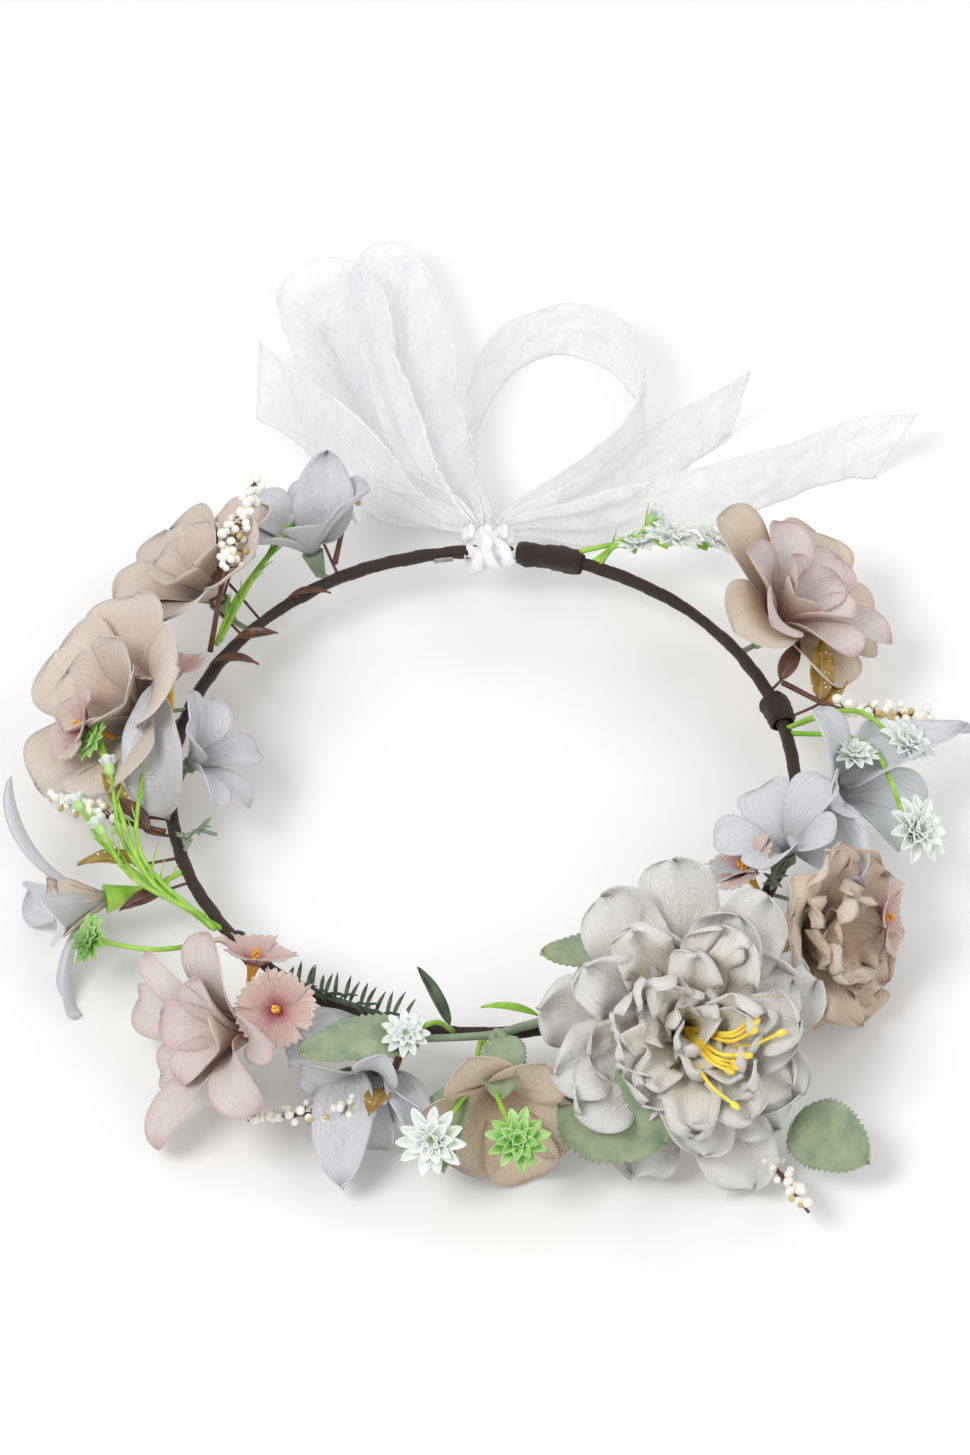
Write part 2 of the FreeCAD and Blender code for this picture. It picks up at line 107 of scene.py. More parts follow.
def smooth_step(low, high, value):
    share = min(max((value - low) / (high - low), 0.0), 1.0)
    return share * share * (3 - 2 * share)


def smooth_path(points, steps):
    """Catmull-Rom samples through points; each point is a Vector."""
    ends = [points[0] * 2 - points[1]] + list(points) + [points[-1] * 2 - points[-2]]
    run = []
    for leg in range(len(points) - 1):
        a, b, c, d = ends[leg:leg + 4]
        for step in range(steps):
            t = step / steps
            run.append(0.5 * ((2 * b) + (c - a) * t + (2 * a - 5 * b + 4 * c - d) * t * t
                              + (3 * b - a - 3 * c + d) * t ** 3))
    run.append(points[-1].copy())
    return run


def path_around(points, steps):
    return smooth_path([around(*point) for point in points], steps)


# --- mesh building
class Builder:
    """Collects grids, tubes and balls, in millimetres, with a mark on each point that materials read."""

    def __init__(self):
        self.points = []
        self.faces = []
        self.marks = []
        self.slots = []

    def grid(self, rows, shares, chance=0.5, slot=0, wrap=False, flip=False):
        """Skin over rows of points; shares says how far along the piece each row is."""
        start = len(self.points)
        width = len(rows[0])
        for row, share in zip(rows, shares):
            marks = [(k / (width if wrap else width - 1), share, chance, 1.0) for k in range(width)]
            self.points += row[::-1] if flip else row
            self.marks += marks[::-1] if flip else marks
        for down in range(len(rows) - 1):
            for across in range(width if wrap else width - 1):
                beside = (across + 1) % width
                low = start + down * width
                high = low + width
                self.faces.append((low + across, low + beside, high + beside, high + across))
                self.slots.append(slot)

    def tube(self, run, radius, sides=8, slot=0, chance=0.0):
        """Tube along sampled points; radius is a number or a function of the share along it."""
        rows = []
        shares = [number / (len(run) - 1) for number in range(len(run))]
        side = UP.cross(run[1] - run[0])
        side = side.normalized() if side.length > 1e-4 else Vector((1, 0, 0))
        for number, centre in enumerate(run):
            ahead = run[min(number + 1, len(run) - 1)] - run[max(number - 1, 0)]
            ahead.normalize()
            side = (side - ahead * side.dot(ahead)).normalized()
            other = ahead.cross(side)
            size = radius(shares[number]) if callable(radius) else radius
            rows.append([centre + (side * math.cos(2 * math.pi * k / sides)
                                   + other * math.sin(2 * math.pi * k / sides)) * size for k in range(sides)])
        self.grid(rows, shares, chance, slot, wrap=True)
        self.cap(len(self.points) - sides, sides, run[-1], slot)
        self.cap(len(self.points) - 1 - sides * len(run), sides, run[0], slot, flip=True)

    def cap(self, start, sides, centre, slot, flip=False):
        """Closes the ring of points from start with a fan to one centre."""
        self.points.append(centre.copy())
        self.marks.append(self.marks[start])
        tip = len(self.points) - 1
        for k in range(sides):
            corner = (start + k, start + (k + 1) % sides, tip)
            self.faces.append(corner[::-1] if flip else corner)
            self.slots.append(slot)

    def ball(self, centre, radius, slot=0, chance=0.0, stretch=1.0, axis=UP, rings=6, sides=10):
        """Bead, longer along its axis when stretch is over 1."""
        place = frame_on(centre, axis, Vector((axis.z + 0.3, axis.x, axis.y + 0.1)).cross(axis))
        rows = []
        for ring in range(1, rings):
            turn = math.pi * ring / rings
            out, level = radius * math.sin(turn), -radius * stretch * math.cos(turn)
            rows.append([place @ around(out, 360 * k / sides, level) for k in range(sides)])
        first = len(self.points)
        self.grid(rows, [ring / rings for ring in range(1, rings)], chance, slot, wrap=True)
        low = place @ Vector((0, 0, -radius * stretch))
        high = place @ Vector((0, 0, radius * stretch))
        self.cap(first + sides * (rings - 2), sides, high, slot)
        self.cap(first, sides, low, slot, flip=True)

    def make(self, name, materials, thickness=0.0, back_slot=0):
        """The mesh as one piece; back_slot is how many materials further the thickened back's is."""
        mesh = bpy.data.meshes.new(name)
        mesh.from_pydata([point * MM for point in self.points], [], self.faces)
        mark = mesh.color_attributes.new("mark", "FLOAT_COLOR", "POINT")
        mark.data.foreach_set("color", [value for entry in self.marks for value in entry])
        mesh.polygons.foreach_set("use_smooth", [True] * len(self.faces))
        mesh.polygons.foreach_set("material_index", self.slots)
        for material in materials:
            mesh.materials.append(material)
        mesh.validate()
        piece = bpy.data.objects.new(name, mesh)
        bpy.context.scene.collection.objects.link(piece)
        if thickness:
            solid = piece.modifiers.new("thickness", "SOLIDIFY")
            solid.thickness = thickness * MM
            solid.offset = -1
            solid.material_offset = back_slot
        return piece


# --- petals and leaves
def outline(v, widest, blunt):
    return v ** widest * max(1 - v ** 4, 0.0) ** blunt


def petal(build, place, turn, chance, length, width, lean, cup=0.15, ruffle=0.0, waves=3.0, claw=0.2,
          widest=1.0, blunt=0.5, curl=1.3, hub=1.2, lift=0.0, teeth=0, bite=0.0, fan=False, wild=1.0,
          slot=0, rows=18, across=12):
    """One fabric petal: it leaves the hub at lean[0] degrees from the axis and ends at lean[1].

    cup raises its sides, ruffle waves its rim, claw is its share of the width at the hub, a fan widens all
    the way out, and wild is how far it strays from its neighbours.
    """
    wobble = random.Random(int(chance * 1e6) + int(turn * 100))
    lean_start = math.radians(lean[0] + wild * wobble.uniform(-HUB_LEAN_STRAY, HUB_LEAN_STRAY))
    lean_end = math.radians(lean[1] + wild * wobble.uniform(-TIP_LEAN_STRAY, TIP_LEAN_STRAY))
    phase = wobble.uniform(0, 6.28)
    twist = wild * wobble.uniform(-TWIST_STRAY, TWIST_STRAY)
    sway = wild * wobble.uniform(-SWAY_STRAY, SWAY_STRAY)
    size = 1.0 + wild * wobble.uniform(*SIZE_STRAY)
    peak = max(outline(k / 40, widest, blunt) for k in range(41))
    spin = Matrix.Rotation(math.radians(turn), 4, "Z")
    centre_r, centre_z = hub, lift
    grid = []
    shares = [0.0]
    for down in range(rows + 1):
        v = 1 - (1 - down / rows) ** ROW_CROWDING
        angle = lean_start + (lean_end - lean_start) * v ** curl
        centre_r += math.sin(angle) * length * size * (v - shares[-1])
        centre_z += math.cos(angle) * length * size * (v - shares[-1])
        shares.append(v)
        along = Vector((math.sin(angle), 0, math.cos(angle)))
        inward = Vector((-math.cos(angle), 0, math.sin(angle)))
        if fan:
            half = 0.5 * width * (claw + (1 - claw) * v ** 0.8)
        else:
            body = outline(v, widest, blunt) / peak
            half = 0.5 * width * max(claw * (1 - v) ** 1.5 + body * (1 - 0.5 * claw * (1 - v)), NARROWEST)
        row = []
        for step in range(across + 1):
            u = 2 * step / across - 1
            reach = -0.13 * length * u * u * v if fan else 0.0
            if teeth:
                reach += bite * length * v ** 3 * (2 * abs((0.5 * (u + 1) * teeth) % 1 - 0.5) - 0.5)
            wave = ruffle * length * (abs(u) ** 1.6 * v * math.sin(2 * math.pi * waves * v + phase + 1.3 * u)
                                      + 0.6 * v ** 3 * math.sin(2.2 * waves * u + phase))
            rise = cup * half * u * u * 2 + wave + twist * half * u * v
            point = Vector((centre_r, sway * length * v * v + half * u, centre_z))
            point += inward * rise + along * reach
            row.append(place @ (spin @ point))
        grid.append(row)
    build.grid(grid, shares[1:], chance, slot, flip=True)


def whorl(build, place, count, turn=0.0, seed=0, jitter=7.0, **shape):
    """A ring of petals round the hub of one bloom."""
    pick = random.Random(seed)
    for number in range(count):
        angle = turn + 360 * number / count + pick.uniform(-jitter, jitter)
        petal(build, place, angle, pick.random(), **shape)


def leaf_blade(build, root, azimuth, rise, length, width, roll=0.0, arch=0.12, fold=0.1, teeth=0, bite=0.0,
               blunt=0.6, slot=0, chance=0.5, rows=22, across=8):
    """Leaf from its root along a direction, arched lengthwise and folded a little on its midrib."""
    along = facing(azimuth, rise)
    face = facing(azimuth, rise + 90)
    side = face.cross(along)
    tilt = math.radians(roll)
    side, face = side * math.cos(tilt) + face * math.sin(tilt), face * math.cos(tilt) - side * math.sin(tilt)
    grid = []
    shares = [down / rows for down in range(rows + 1)]
    for v in shares:
        half = 0.5 * width * max(math.sin(math.pi * min(v ** 0.8, 1.0)) ** blunt, NARROWEST)
        row = []
        for step in range(across + 1):
            u = 2 * step / across - 1
            saw = 1.0
            if teeth and abs(u) > 0.99:
                saw += bite * (((v * teeth) % 1) - 0.5)
            lift = arch * length * math.sin(math.pi * v) + fold * width * abs(u) ** 1.3
            lift += 0.02 * width * math.sin(17 * v + 3 * u)
            row.append(root + along * (length * v) + side * (half * u * saw) + face * lift)
        grid.append(row)
    build.grid(grid, shares, chance, slot)


# --- materials
class Tree:
    """One material and its nodes. A value is a number, a colour or another node's output."""

    def __init__(self, name, colour, roughness, **values):
        self.material = bpy.data.materials.new(name)
        self.material.use_nodes = True
        self.nodes = self.material.node_tree.nodes
        self.link = self.material.node_tree.links.new
        self.sockets = self.nodes["Principled BSDF"].inputs
        self.sockets["Base Color"].default_value = (*colour, 1)
        self.sockets["Roughness"].default_value = roughness
        self.sockets["Subsurface Radius"].default_value = (1.0, 0.95, 0.85)
        for socket, value in values.items():
            self.sockets[socket.replace("_", " ")].default_value = value

    def finish(self, colour, height, strength, distance):
        """Joins the colour and a bump to the shader; the distance is in metres."""
        self.link(colour, self.sockets["Base Color"])
        node = self.add("Bump")
        node.inputs["Strength"].default_value = strength
        node.inputs["Distance"].default_value = distance
        self.link(height, node.inputs["Height"])
        self.link(node.outputs["Normal"], self.sockets["Normal"])
        return self.material

    def add(self, kind, **fields):
        node = self.nodes.new("ShaderNode" + kind)
        for field, value in fields.items():
            setattr(node, field, value)
        return node

    def put(self, value, socket):
        if isinstance(value, (int, float)):
            socket.default_value = value
        elif isinstance(value, tuple):
            socket.default_value = (*value, 1)
        else:
            self.link(value, socket)

    def mark(self):
        """Share across, share along and a random share of each petal or leaf."""
        source = self.add("Attribute", attribute_name="mark")
        split = self.add("SeparateColor")
        self.link(source.outputs["Color"], split.inputs["Color"])
        return split.outputs["Red"], split.outputs["Green"], split.outputs["Blue"]

    def math(self, operation, first, second=0.0, third=0.0):
        node = self.add("Math", operation=operation)
        for socket, value in zip(node.inputs, (first, second, third)):
            self.put(value, socket)
        return node.outputs[0]

    def times(self, first, second):
        return self.math("MULTIPLY", first, second)

    def plus(self, first, second):
        return self.math("ADD", first, second)

    def ramp(self, value, *stops):
        node = self.add("ValToRGB")
        ramp = node.color_ramp
        while len(ramp.elements) < len(stops):
            ramp.elements.new(0.5)
        for element, (place, colour) in zip(ramp.elements, stops):
            element.position = place
            element.color = (*colour, 1)
        self.link(value, node.inputs["Fac"])
        return node.outputs["Color"]

    def blend(self, share, first, second, mode="MIX"):
        node = self.add("Mix", data_type="RGBA", blend_type=mode)
        for index, value in ((0, share), (6, first), (7, second)):
            self.put(value, node.inputs[index])
        return node.outputs[2]

    def noise(self, scale, detail=3.0, vector=None, rough=0.55):
        node = self.add("TexNoise")
        node.inputs["Scale"].default_value = scale
        node.inputs["Detail"].default_value = detail
        node.inputs["Roughness"].default_value = rough
        self.link(vector or self.add("TexCoord").outputs["Object"], node.inputs["Vector"])
        return node.outputs["Fac"]

    def vector(self, x, y, z=0.0):
        node = self.add("CombineXYZ")
        for socket, value in zip(node.inputs, (x, y, z)):
            self.put(value, socket)
        return node.outputs[0]

    def from_midrib(self, across):
        """0 on the midrib, 1 at either side edge."""
        return self.math("ABSOLUTE", self.math("MULTIPLY_ADD", across, 2.0, -1.0))

    def side_veins(self, along, edge, number, slope, sharpness):
        slant = self.math("MULTIPLY_ADD", along, number, self.times(edge, -slope))
        return self.math("POWER", self.math("ABSOLUTE", self.math("SINE", slant)), sharpness)

    def weave(self, pitch):
        """Height of a plain weave with threads a pitch apart, in metres."""
        place = self.add("TexCoord").outputs["Object"]
        waves = []
        for direction in ("X", "Y", "Z"):
            node = self.add("TexWave", wave_type="BANDS", bands_direction=direction)
            node.inputs["Scale"].default_value = 0.32 / pitch
            node.inputs["Distortion"].default_value = 0.6
            node.inputs["Detail"].default_value = 1.0
            self.link(place, node.inputs["Vector"])
            waves.append(node.outputs["Fac"])
        return self.plus(self.plus(waves[0], waves[1]), waves[2])

def fabric(name, base, middle, tip, rim, rim_share=0.35, vein=0.18, roughness=0.75, speckle=0.05, glow=0.2):
    """Printed petal fabric: base-to-tip colour whose darker base is partly dye and partly painted shade at
    the hub, tinted rim, pressed veins darkened by vein with painted crease shade, and a fine weave.
    """
    tree = Tree(name, middle, roughness, Sheen_Weight=0.25, Sheen_Roughness=0.5, Specular_IOR_Level=0.25,
                Subsurface_Weight=0.5 * glow, Subsurface_Scale=0.0015)
    across, along, chance = tree.mark()
    cloud = tree.noise(90, 2)
    wander = tree.math("MULTIPLY_ADD", cloud, 0.22, tree.math("SUBTRACT", along, 0.11))
    # the base end of this ramp is partly the fabric's dye and partly painted shade where the petals crowd at
    # the hub
    colour = tree.ramp(wander, (0.04, base), (0.44, middle), (0.92, tip))
    edge = tree.from_midrib(across)
    rim_amount = tree.math("MAXIMUM", tree.math("POWER", edge, 5.0), tree.math("POWER", along, 9.0))
    rim_amount = tree.times(rim_amount, tree.times(rim_share, along))
    colour = tree.blend(rim_amount, colour, rim)
    spread = tree.times(tree.math("SUBTRACT", across, 0.5), 34.0)
    fan = tree.vector(spread, tree.times(along, 1.6), tree.times(chance, 40.0))
    veins = tree.noise(1.0, 3, fan, 0.6)
    # painted crease shade: the colour goes darker along the pressed veins, as much as vein says
    dark = tree.times(tree.math("SUBTRACT", veins, 0.42), vein * 3)
    dark = tree.math("MAXIMUM", dark, 0.0)
    colour = tree.blend(dark, colour, tuple(0.62 * value for value in middle))
    tone = tree.math("MULTIPLY_ADD", chance, 2 * speckle, 1 - speckle)
    colour = tree.blend(1.0, colour, tree.vector(tone, tone, tone), "MULTIPLY")
    height = tree.math("MULTIPLY_ADD", veins, 1.0, tree.times(tree.weave(WEAVE_PITCH), 0.09))
    return tree.finish(colour, height, 0.9, 0.0013)


def plastic(name, colour, other, roughness=0.45, scale=160, bumps=0.25, **values):
    """Moulded plastic with slight colour drift and a fine uneven skin."""
    tree = Tree(name, colour, roughness, **values)
    drift = tree.noise(scale, 3)
    drifted = tree.ramp(drift, (0.32, colour), (0.68, other))
    return tree.finish(drifted, tree.noise(scale * 6, 2), bumps, 0.0002)


def crepe_tape():
    """Waxed crepe paper: fine cross ripples, with painted shade in their troughs."""
    tree = Tree("crepe_tape", (0.03, 0.013, 0.009), 0.6, Sheen_Weight=0.05)
    across, along = tree.mark()[:2]
    ripple = tree.noise(1.0, 4, tree.vector(tree.times(across, 10.0),
                                            tree.times(along, 900.0)), 0.7)
    # painted shade: the colour goes darker where the ripple's bump is low
    colour = tree.ramp(ripple, (0.3, (0.010, 0.004, 0.003)), (0.72, (0.062, 0.027, 0.017)))
    height = tree.plus(ripple, tree.noise(700, 4))
    return tree.finish(colour, height, 0.7, 0.0005)


def organza(name, alpha, whiteness):
    """Sheer crinkled ribbon; its glitter comes from a fine uneven surface and from painted highlights on the
    crinkle, which has painted shade in its folds.

    The small emission stands in for light that comes through the weave from behind.
    """
    tree = Tree(name, (whiteness, whiteness, min(whiteness + 0.02, 1.0)), 0.32, Sheen_Weight=0.8,
                Sheen_Roughness=0.3, Subsurface_Weight=0.3, Subsurface_Scale=0.003, Alpha=alpha,
                Emission_Strength=0.2, Emission_Color=(1, 1, 1, 1))
    crinkle = tree.noise(420, 5, rough=0.7)
    soft = tree.noise(60, 3)
    # painted shade and painted highlight: greyer in the folds of the crinkle, white on its crests
    colour = tree.ramp(tree.math("MULTIPLY_ADD", crinkle, 0.6, tree.times(soft, 0.4)),
                       (0.38, (whiteness - 0.10, whiteness - 0.10, whiteness - 0.05)), (0.6, (1.0, 1.0, 1.0)))
    height = tree.plus(tree.times(crinkle, 1.4),
                       tree.times(tree.weave(ORGANZA_PITCH), 0.12))
    return tree.finish(colour, height, 0.8, 0.0008)


def flocked():
    """Blue-green flock with a frosted bloom, pale veins and a yellow-green rim."""
    tree = Tree("flocked_leaf_face", (0.16, 0.27, 0.24), 0.95, Sheen_Weight=0.7, Sheen_Roughness=0.4)
    across, along = tree.mark()[:2]
    edge = tree.from_midrib(across)
    frost = tree.noise(620, 5, rough=0.85)
    patch = tree.noise(140, 3)
    colour = tree.ramp(tree.math("MULTIPLY_ADD", frost, 0.55, tree.times(patch, 0.5)),
                       (0.42, (0.015, 0.06, 0.045)), (0.53, (0.08, 0.18, 0.15)), (0.64, (0.5, 0.6, 0.56)))
    side_vein = tree.side_veins(along, edge, 62.0, 16.0, 14.0)
    midrib = tree.math("LESS_THAN", edge, 0.07)
    vein = tree.math("MAXIMUM", tree.times(side_vein, 0.6), tree.times(midrib, 0.85))
    colour = tree.blend(vein, colour, (0.45, 0.55, 0.40))
    rim = tree.times(tree.math("POWER", edge, 8.0), 0.85)
    colour = tree.blend(rim, colour, (0.42, 0.50, 0.16))
    return tree.finish(colour, tree.math("SUBTRACT", frost, vein), 0.8, 0.0006)


def leaf_plastic(name, dark, light, vein_colour, dots=0.0):
    """Glossy moulded leaf with side veins, and painted dots on the gold ones."""
    tree = Tree(name, dark, 0.38, Coat_Weight=0.2)
    across, along = tree.mark()[:2]
    edge = tree.from_midrib(across)
    colour = tree.ramp(tree.noise(230, 3), (0.35, dark), (0.7, light))
    vein = tree.side_veins(along, edge, 44.0, 9.0, 12.0)
    vein = tree.math("MAXIMUM", tree.times(vein, 0.4), tree.math("LESS_THAN", edge, 0.08))
    colour = tree.blend(tree.times(vein, 0.5), colour, vein_colour)
    if dots:
        spots = tree.add("TexVoronoi")
        spots.inputs["Scale"].default_value = 520
        tree.link(tree.add("TexCoord").outputs["Object"], spots.inputs["Vector"])
        spot = tree.math("LESS_THAN", spots.outputs["Distance"], dots)
        colour = tree.blend(spot, colour, (0.9, 0.86, 0.7))
    return tree.finish(colour, vein, 0.4, 0.0004)


# cream's apricot base is painted shade deep in the peony, given a warm colour
cream = fabric("peony_cream", (0.84, 0.48, 0.13), (0.97, 0.86, 0.64), (0.98, 0.94, 0.85),
               (0.98, 0.96, 0.92), 0.5, vein=0.04, glow=0.3)
cream_back = fabric("peony_cream_back", (0.78, 0.54, 0.26), (0.95, 0.86, 0.71), (0.96, 0.91, 0.83),
                    (0.97, 0.95, 0.91), vein=0.04, glow=0.3)
peony_outer = fabric("peony_outer_white", (0.80, 0.62, 0.38), (0.95, 0.90, 0.81), (0.96, 0.94, 0.90),
                     (0.97, 0.96, 0.95), vein=0.05, glow=0.3)
magnolia_face = fabric("magnolia_face", (0.80, 0.32, 0.20), (0.94, 0.80, 0.73), (0.96, 0.89, 0.86),
                       (0.88, 0.50, 0.48), 0.7, vein=0.1)
magnolia_back = fabric("magnolia_back", (0.62, 0.38, 0.25), (0.88, 0.67, 0.50), (0.93, 0.77, 0.62),
                       (0.95, 0.84, 0.73))
# blush_face's grey base is painted shade at the hub of the bloom
blush_face = fabric("blush_face", (0.33, 0.33, 0.35), (0.84, 0.66, 0.53), (0.92, 0.78, 0.67),
                    (0.95, 0.85, 0.77))
blush_back = fabric("blush_back", (0.55, 0.45, 0.36), (0.84, 0.66, 0.52), (0.90, 0.75, 0.62),
                    (0.93, 0.82, 0.72))
beige_face = fabric("beige_face", (0.54, 0.35, 0.22), (0.86, 0.66, 0.48), (0.92, 0.77, 0.61),
                    (0.74, 0.49, 0.35), 0.6)
grey_face = fabric("grey_white_face", (0.62, 0.61, 0.60), (0.84, 0.85, 0.90), (0.91, 0.92, 0.96),
                   (0.90, 0.91, 0.94), roughness=0.5)
pink_face = fabric("pink_face", (0.62, 0.12, 0.18), (0.86, 0.53, 0.50), (0.90, 0.69, 0.60),
                   (0.94, 0.80, 0.72), 0.5, vein=0.3)
tape = crepe_tape()
sheer = organza("organza_sheer", 0.46, 0.93)
selvedge = organza("organza_selvedge", 0.8, 0.95)
knot_cloth = organza("organza_knot", 0.97, 0.9)
flock = flocked()
flock_back = plastic("flocked_leaf_back", (0.22, 0.30, 0.20), (0.36, 0.42, 0.26), 0.9)
lime = plastic("lime_stem", (0.20, 0.46, 0.03), (0.44, 0.70, 0.10), 0.4, Subsurface_Weight=0.1,
               Subsurface_Scale=0.002)
grey_green = plastic("grey_green_stem", (0.20, 0.27, 0.17), (0.32, 0.40, 0.26), 0.6)
dark_green = plastic("dark_green_needle", (0.03, 0.055, 0.03), (0.08, 0.12, 0.06), 0.5)
star_white = plastic("star_white", (0.83, 0.92, 0.80), (0.95, 0.97, 0.97), 0.35, Subsurface_Weight=0.5,
                     Subsurface_Scale=0.002)
star_green = plastic("star_green", (0.30, 0.58, 0.14), (0.52, 0.76, 0.30), 0.35)
pearl = plastic("pearl_bead", (0.90, 0.87, 0.76), (0.96, 0.95, 0.90), 0.22, Coat_Weight=0.5)
straw = plastic("gold_bead", (0.50, 0.34, 0.12), (0.72, 0.56, 0.28), 0.4)
brown_stem = plastic("brown_stem", (0.085, 0.032, 0.018), (0.17, 0.07, 0.04), 0.5)
gold_leaf = leaf_plastic("gold_leaf_face", (0.26, 0.14, 0.02), (0.48, 0.32, 0.07), (0.62, 0.5, 0.2), 0.17)
brown_leaf = leaf_plastic("brown_leaf_face", (0.06, 0.022, 0.012), (0.17, 0.07, 0.035), (0.28, 0.14, 0.08))
orange = plastic("orange_tube", (0.85, 0.36, 0.03), (0.95, 0.60, 0.10), 0.5)
yellow = plastic("stamen_yellow_skin", (0.92, 0.60, 0.03), (0.97, 0.82, 0.12), 0.45)
steel = plastic("wire_steel", (0.35, 0.35, 0.30), (0.5, 0.5, 0.44), 0.35, Metallic=0.9)


def keep(piece, *nodes, body="crown", slot=None):
    """The piece rides on a body and stands for CAD nodes; slot is not used."""
    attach(piece, body)
    if nodes:
        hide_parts(*nodes)
    return piece


# --- hoop
TAPE_RADIUS = 2.0
TAPE_LAPS = 17
TAPE_OVERLAP = 0.4
TAPE_SIDES = 20
TAPE_SLEEVES = {"tape_sleeve_back": 45.0, "tape_sleeve_left": 135.0, "tape_sleeve_front": 225.0,
                "tape_sleeve_right": 315.0}
# start, end, radius, laps
TAPE_WRAPS = {
    "tape_wrap_joint": (71.0, 83.6, 3.9, 5),
    "tape_wrap_front_left": (-142.0, -134.5, 3.3, 4),
    "tape_wrap_right": (15.0, 21.5, 4.5, 4),
}


def sleeve(start, end, steps, sides, radius):
    """Band round the hoop's wire; radius is a function of share along, share round and hoop angle."""
    build = Builder()
    rows = []
    shares = [step / steps for step in range(steps + 1)]
    for share in shares:
        angle = mix(start, end, share)
        row = []
        for k in range(sides):
            turn = 2 * math.pi * k / sides
            size = radius(share, k / sides, angle)
            row.append(around(HOOP_RADIUS, angle) + around(1, angle) * (size * math.cos(turn))
                       + UP * (size * math.sin(turn)))
        rows.append(row)
    build.grid(rows, shares, wrap=True, flip=True)
    return build


def wound_tape(node, start, end, radius, laps):
    """Stretch of the hoop wound with tape: each lap overlaps the last, over uneven stems underneath."""
    def size(share, side, angle):
        turn = 2 * math.pi * side
        taper = 1.0 - 0.22 * (1 - min(1.0, 9 * share, 9 * (1 - share)))
        lap = (share * laps + side) % 1.0
        lump = noise.noise(Vector((angle * 0.22, math.cos(turn), math.sin(turn) + radius)))
        return radius * (taper * (0.94 + 0.2 * lump) + 0.09 * lap)

    build = sleeve(start, end, max(int((end - start) * 2.2), 16), TAPE_SIDES, size)
    keep(build.make("wound_" + node, [tape]), node, slot="floral_tape")


def hoop():
    for node, start in TAPE_SLEEVES.items():
        wound_tape(node, start - TAPE_OVERLAP, start + 90 + TAPE_OVERLAP, TAPE_RADIUS, TAPE_LAPS)
    for node, wrap in TAPE_WRAPS.items():
        wound_tape(node, *wrap)


# --- large flowers
# place of the bloom's hub, and the azimuth and rise that it faces
BLOOMS = {
    "peony": ((112, -59, 6), (-80, 46)),
    "right_magnolia": ((109, 35, 1), (5, 55)),
    "left_magnolia": ((116, -126, -1), (-152, 28)),
    "left_blush": ((106, 166, 1), (-172, 48)),
    "back_left_blush": ((110, 138, 1), (150, 55)),
    "back_grey": ((106, 120, 3), (128, 60)),
    "carnation": ((110, -32, 0), (-26, 26)),
    "front_blush": ((112, -88, -3), (-86, 12)),
    "right_lily": ((106, -3, 1), (-10, 48)),
    "inner_left": ((89, 177, 5), (-8, 48)),
    "inner_right": ((97, -19, 7), (150, 72)),
    "front_grey": ((109, -107, -5), (-106, 4)),
    "left_trumpet": ((121, -160, -3), (-165, 2)),
}
# face, back and slot
PEONY_OUTER = (peony_outer, cream_back, "cream_fabric")
PEONY = (cream, cream_back, "cream_fabric")
MAGNOLIA_OUTER = (magnolia_back, magnolia_back, "blush_fabric")
MAGNOLIA = (magnolia_face, magnolia_back, "blush_fabric")
BLUSH = (blush_face, blush_back, "blush_fabric")
BEIGE = (beige_face, blush_back, "beige_fabric")
GREY_WHITE = (grey_face, grey_face, "grey_white_fabric")


def bloom_place(base, face):
    return frame_on(around(*base), facing(*face))


def petals(node, cloth, *whorls):
    """One fabric layer of a bloom: its whorls, and any petals that stand apart from them."""
    face, back, slot = cloth
    build = Builder()
    place = bloom_place(*next(BLOOMS[bloom] for bloom in BLOOMS if node.startswith(bloom)))
    for number, shape in enumerate(whorls):
        whorl(build, place, seed=hash_name(node) + number, **shape)
    for root, azimuth, rise, length, width, roll in LOOSE_PETALS.get(node, []):
        leaf_blade(build, around(*root), azimuth, rise, length, width, roll, arch=0.1, fold=0.2, blunt=0.55,
                   chance=length / 50)
    settle(build)
    materials = [face, back, blush_face, blush_back]
    keep(build.make(node + "_cloth", materials, PETAL_THICKNESS, 1), node, slot=slot)


def hash_name(text):
    return sum((place + 1) * ord(letter) for place, letter in enumerate(text))


def settle(build):
    """Petals that reach the table bend and lie on it."""
    bend = 3.0
    floor = REST_HEIGHT + 0.4
    for point in build.points:
        if point.z < floor + bend:
            drop = floor + bend - point.z
            point.z = floor + bend * math.exp(-drop / bend)


# root, azimuth, rise, length, width, roll
LOOSE_PETALS = {
    "inner_left_petals": [((96, -170, 4), 96, 22, 42, 21, -30)],
    "front_grey_petals": [((101, -112, 3), 222, 2, 26, 18, 10), ((113, -110, -3), -94, -22, 37, 19, 12),
                          ((112, -104, -2), -70, -12, 24, 13, -15)],
    "inner_right_petals": [((92, -22, 3), 215, 12, 24, 13, 25), ((100, -10, 5), -62, 8, 34, 23, 14)],
    "back_grey_petals": [((106, 119, 5), 84, 34, 30, 19, 10)],
    "right_lily_petals": [((109, -3, 4), 24, 10, 44, 17, -14)],
}


def ring(count, length, width, lean, cup, **more):
    """One whorl of petals; lean is from the bloom's axis, at the hub and at the tip."""
    return dict(count=count, length=length, width=width, lean=lean, cup=cup, **more)


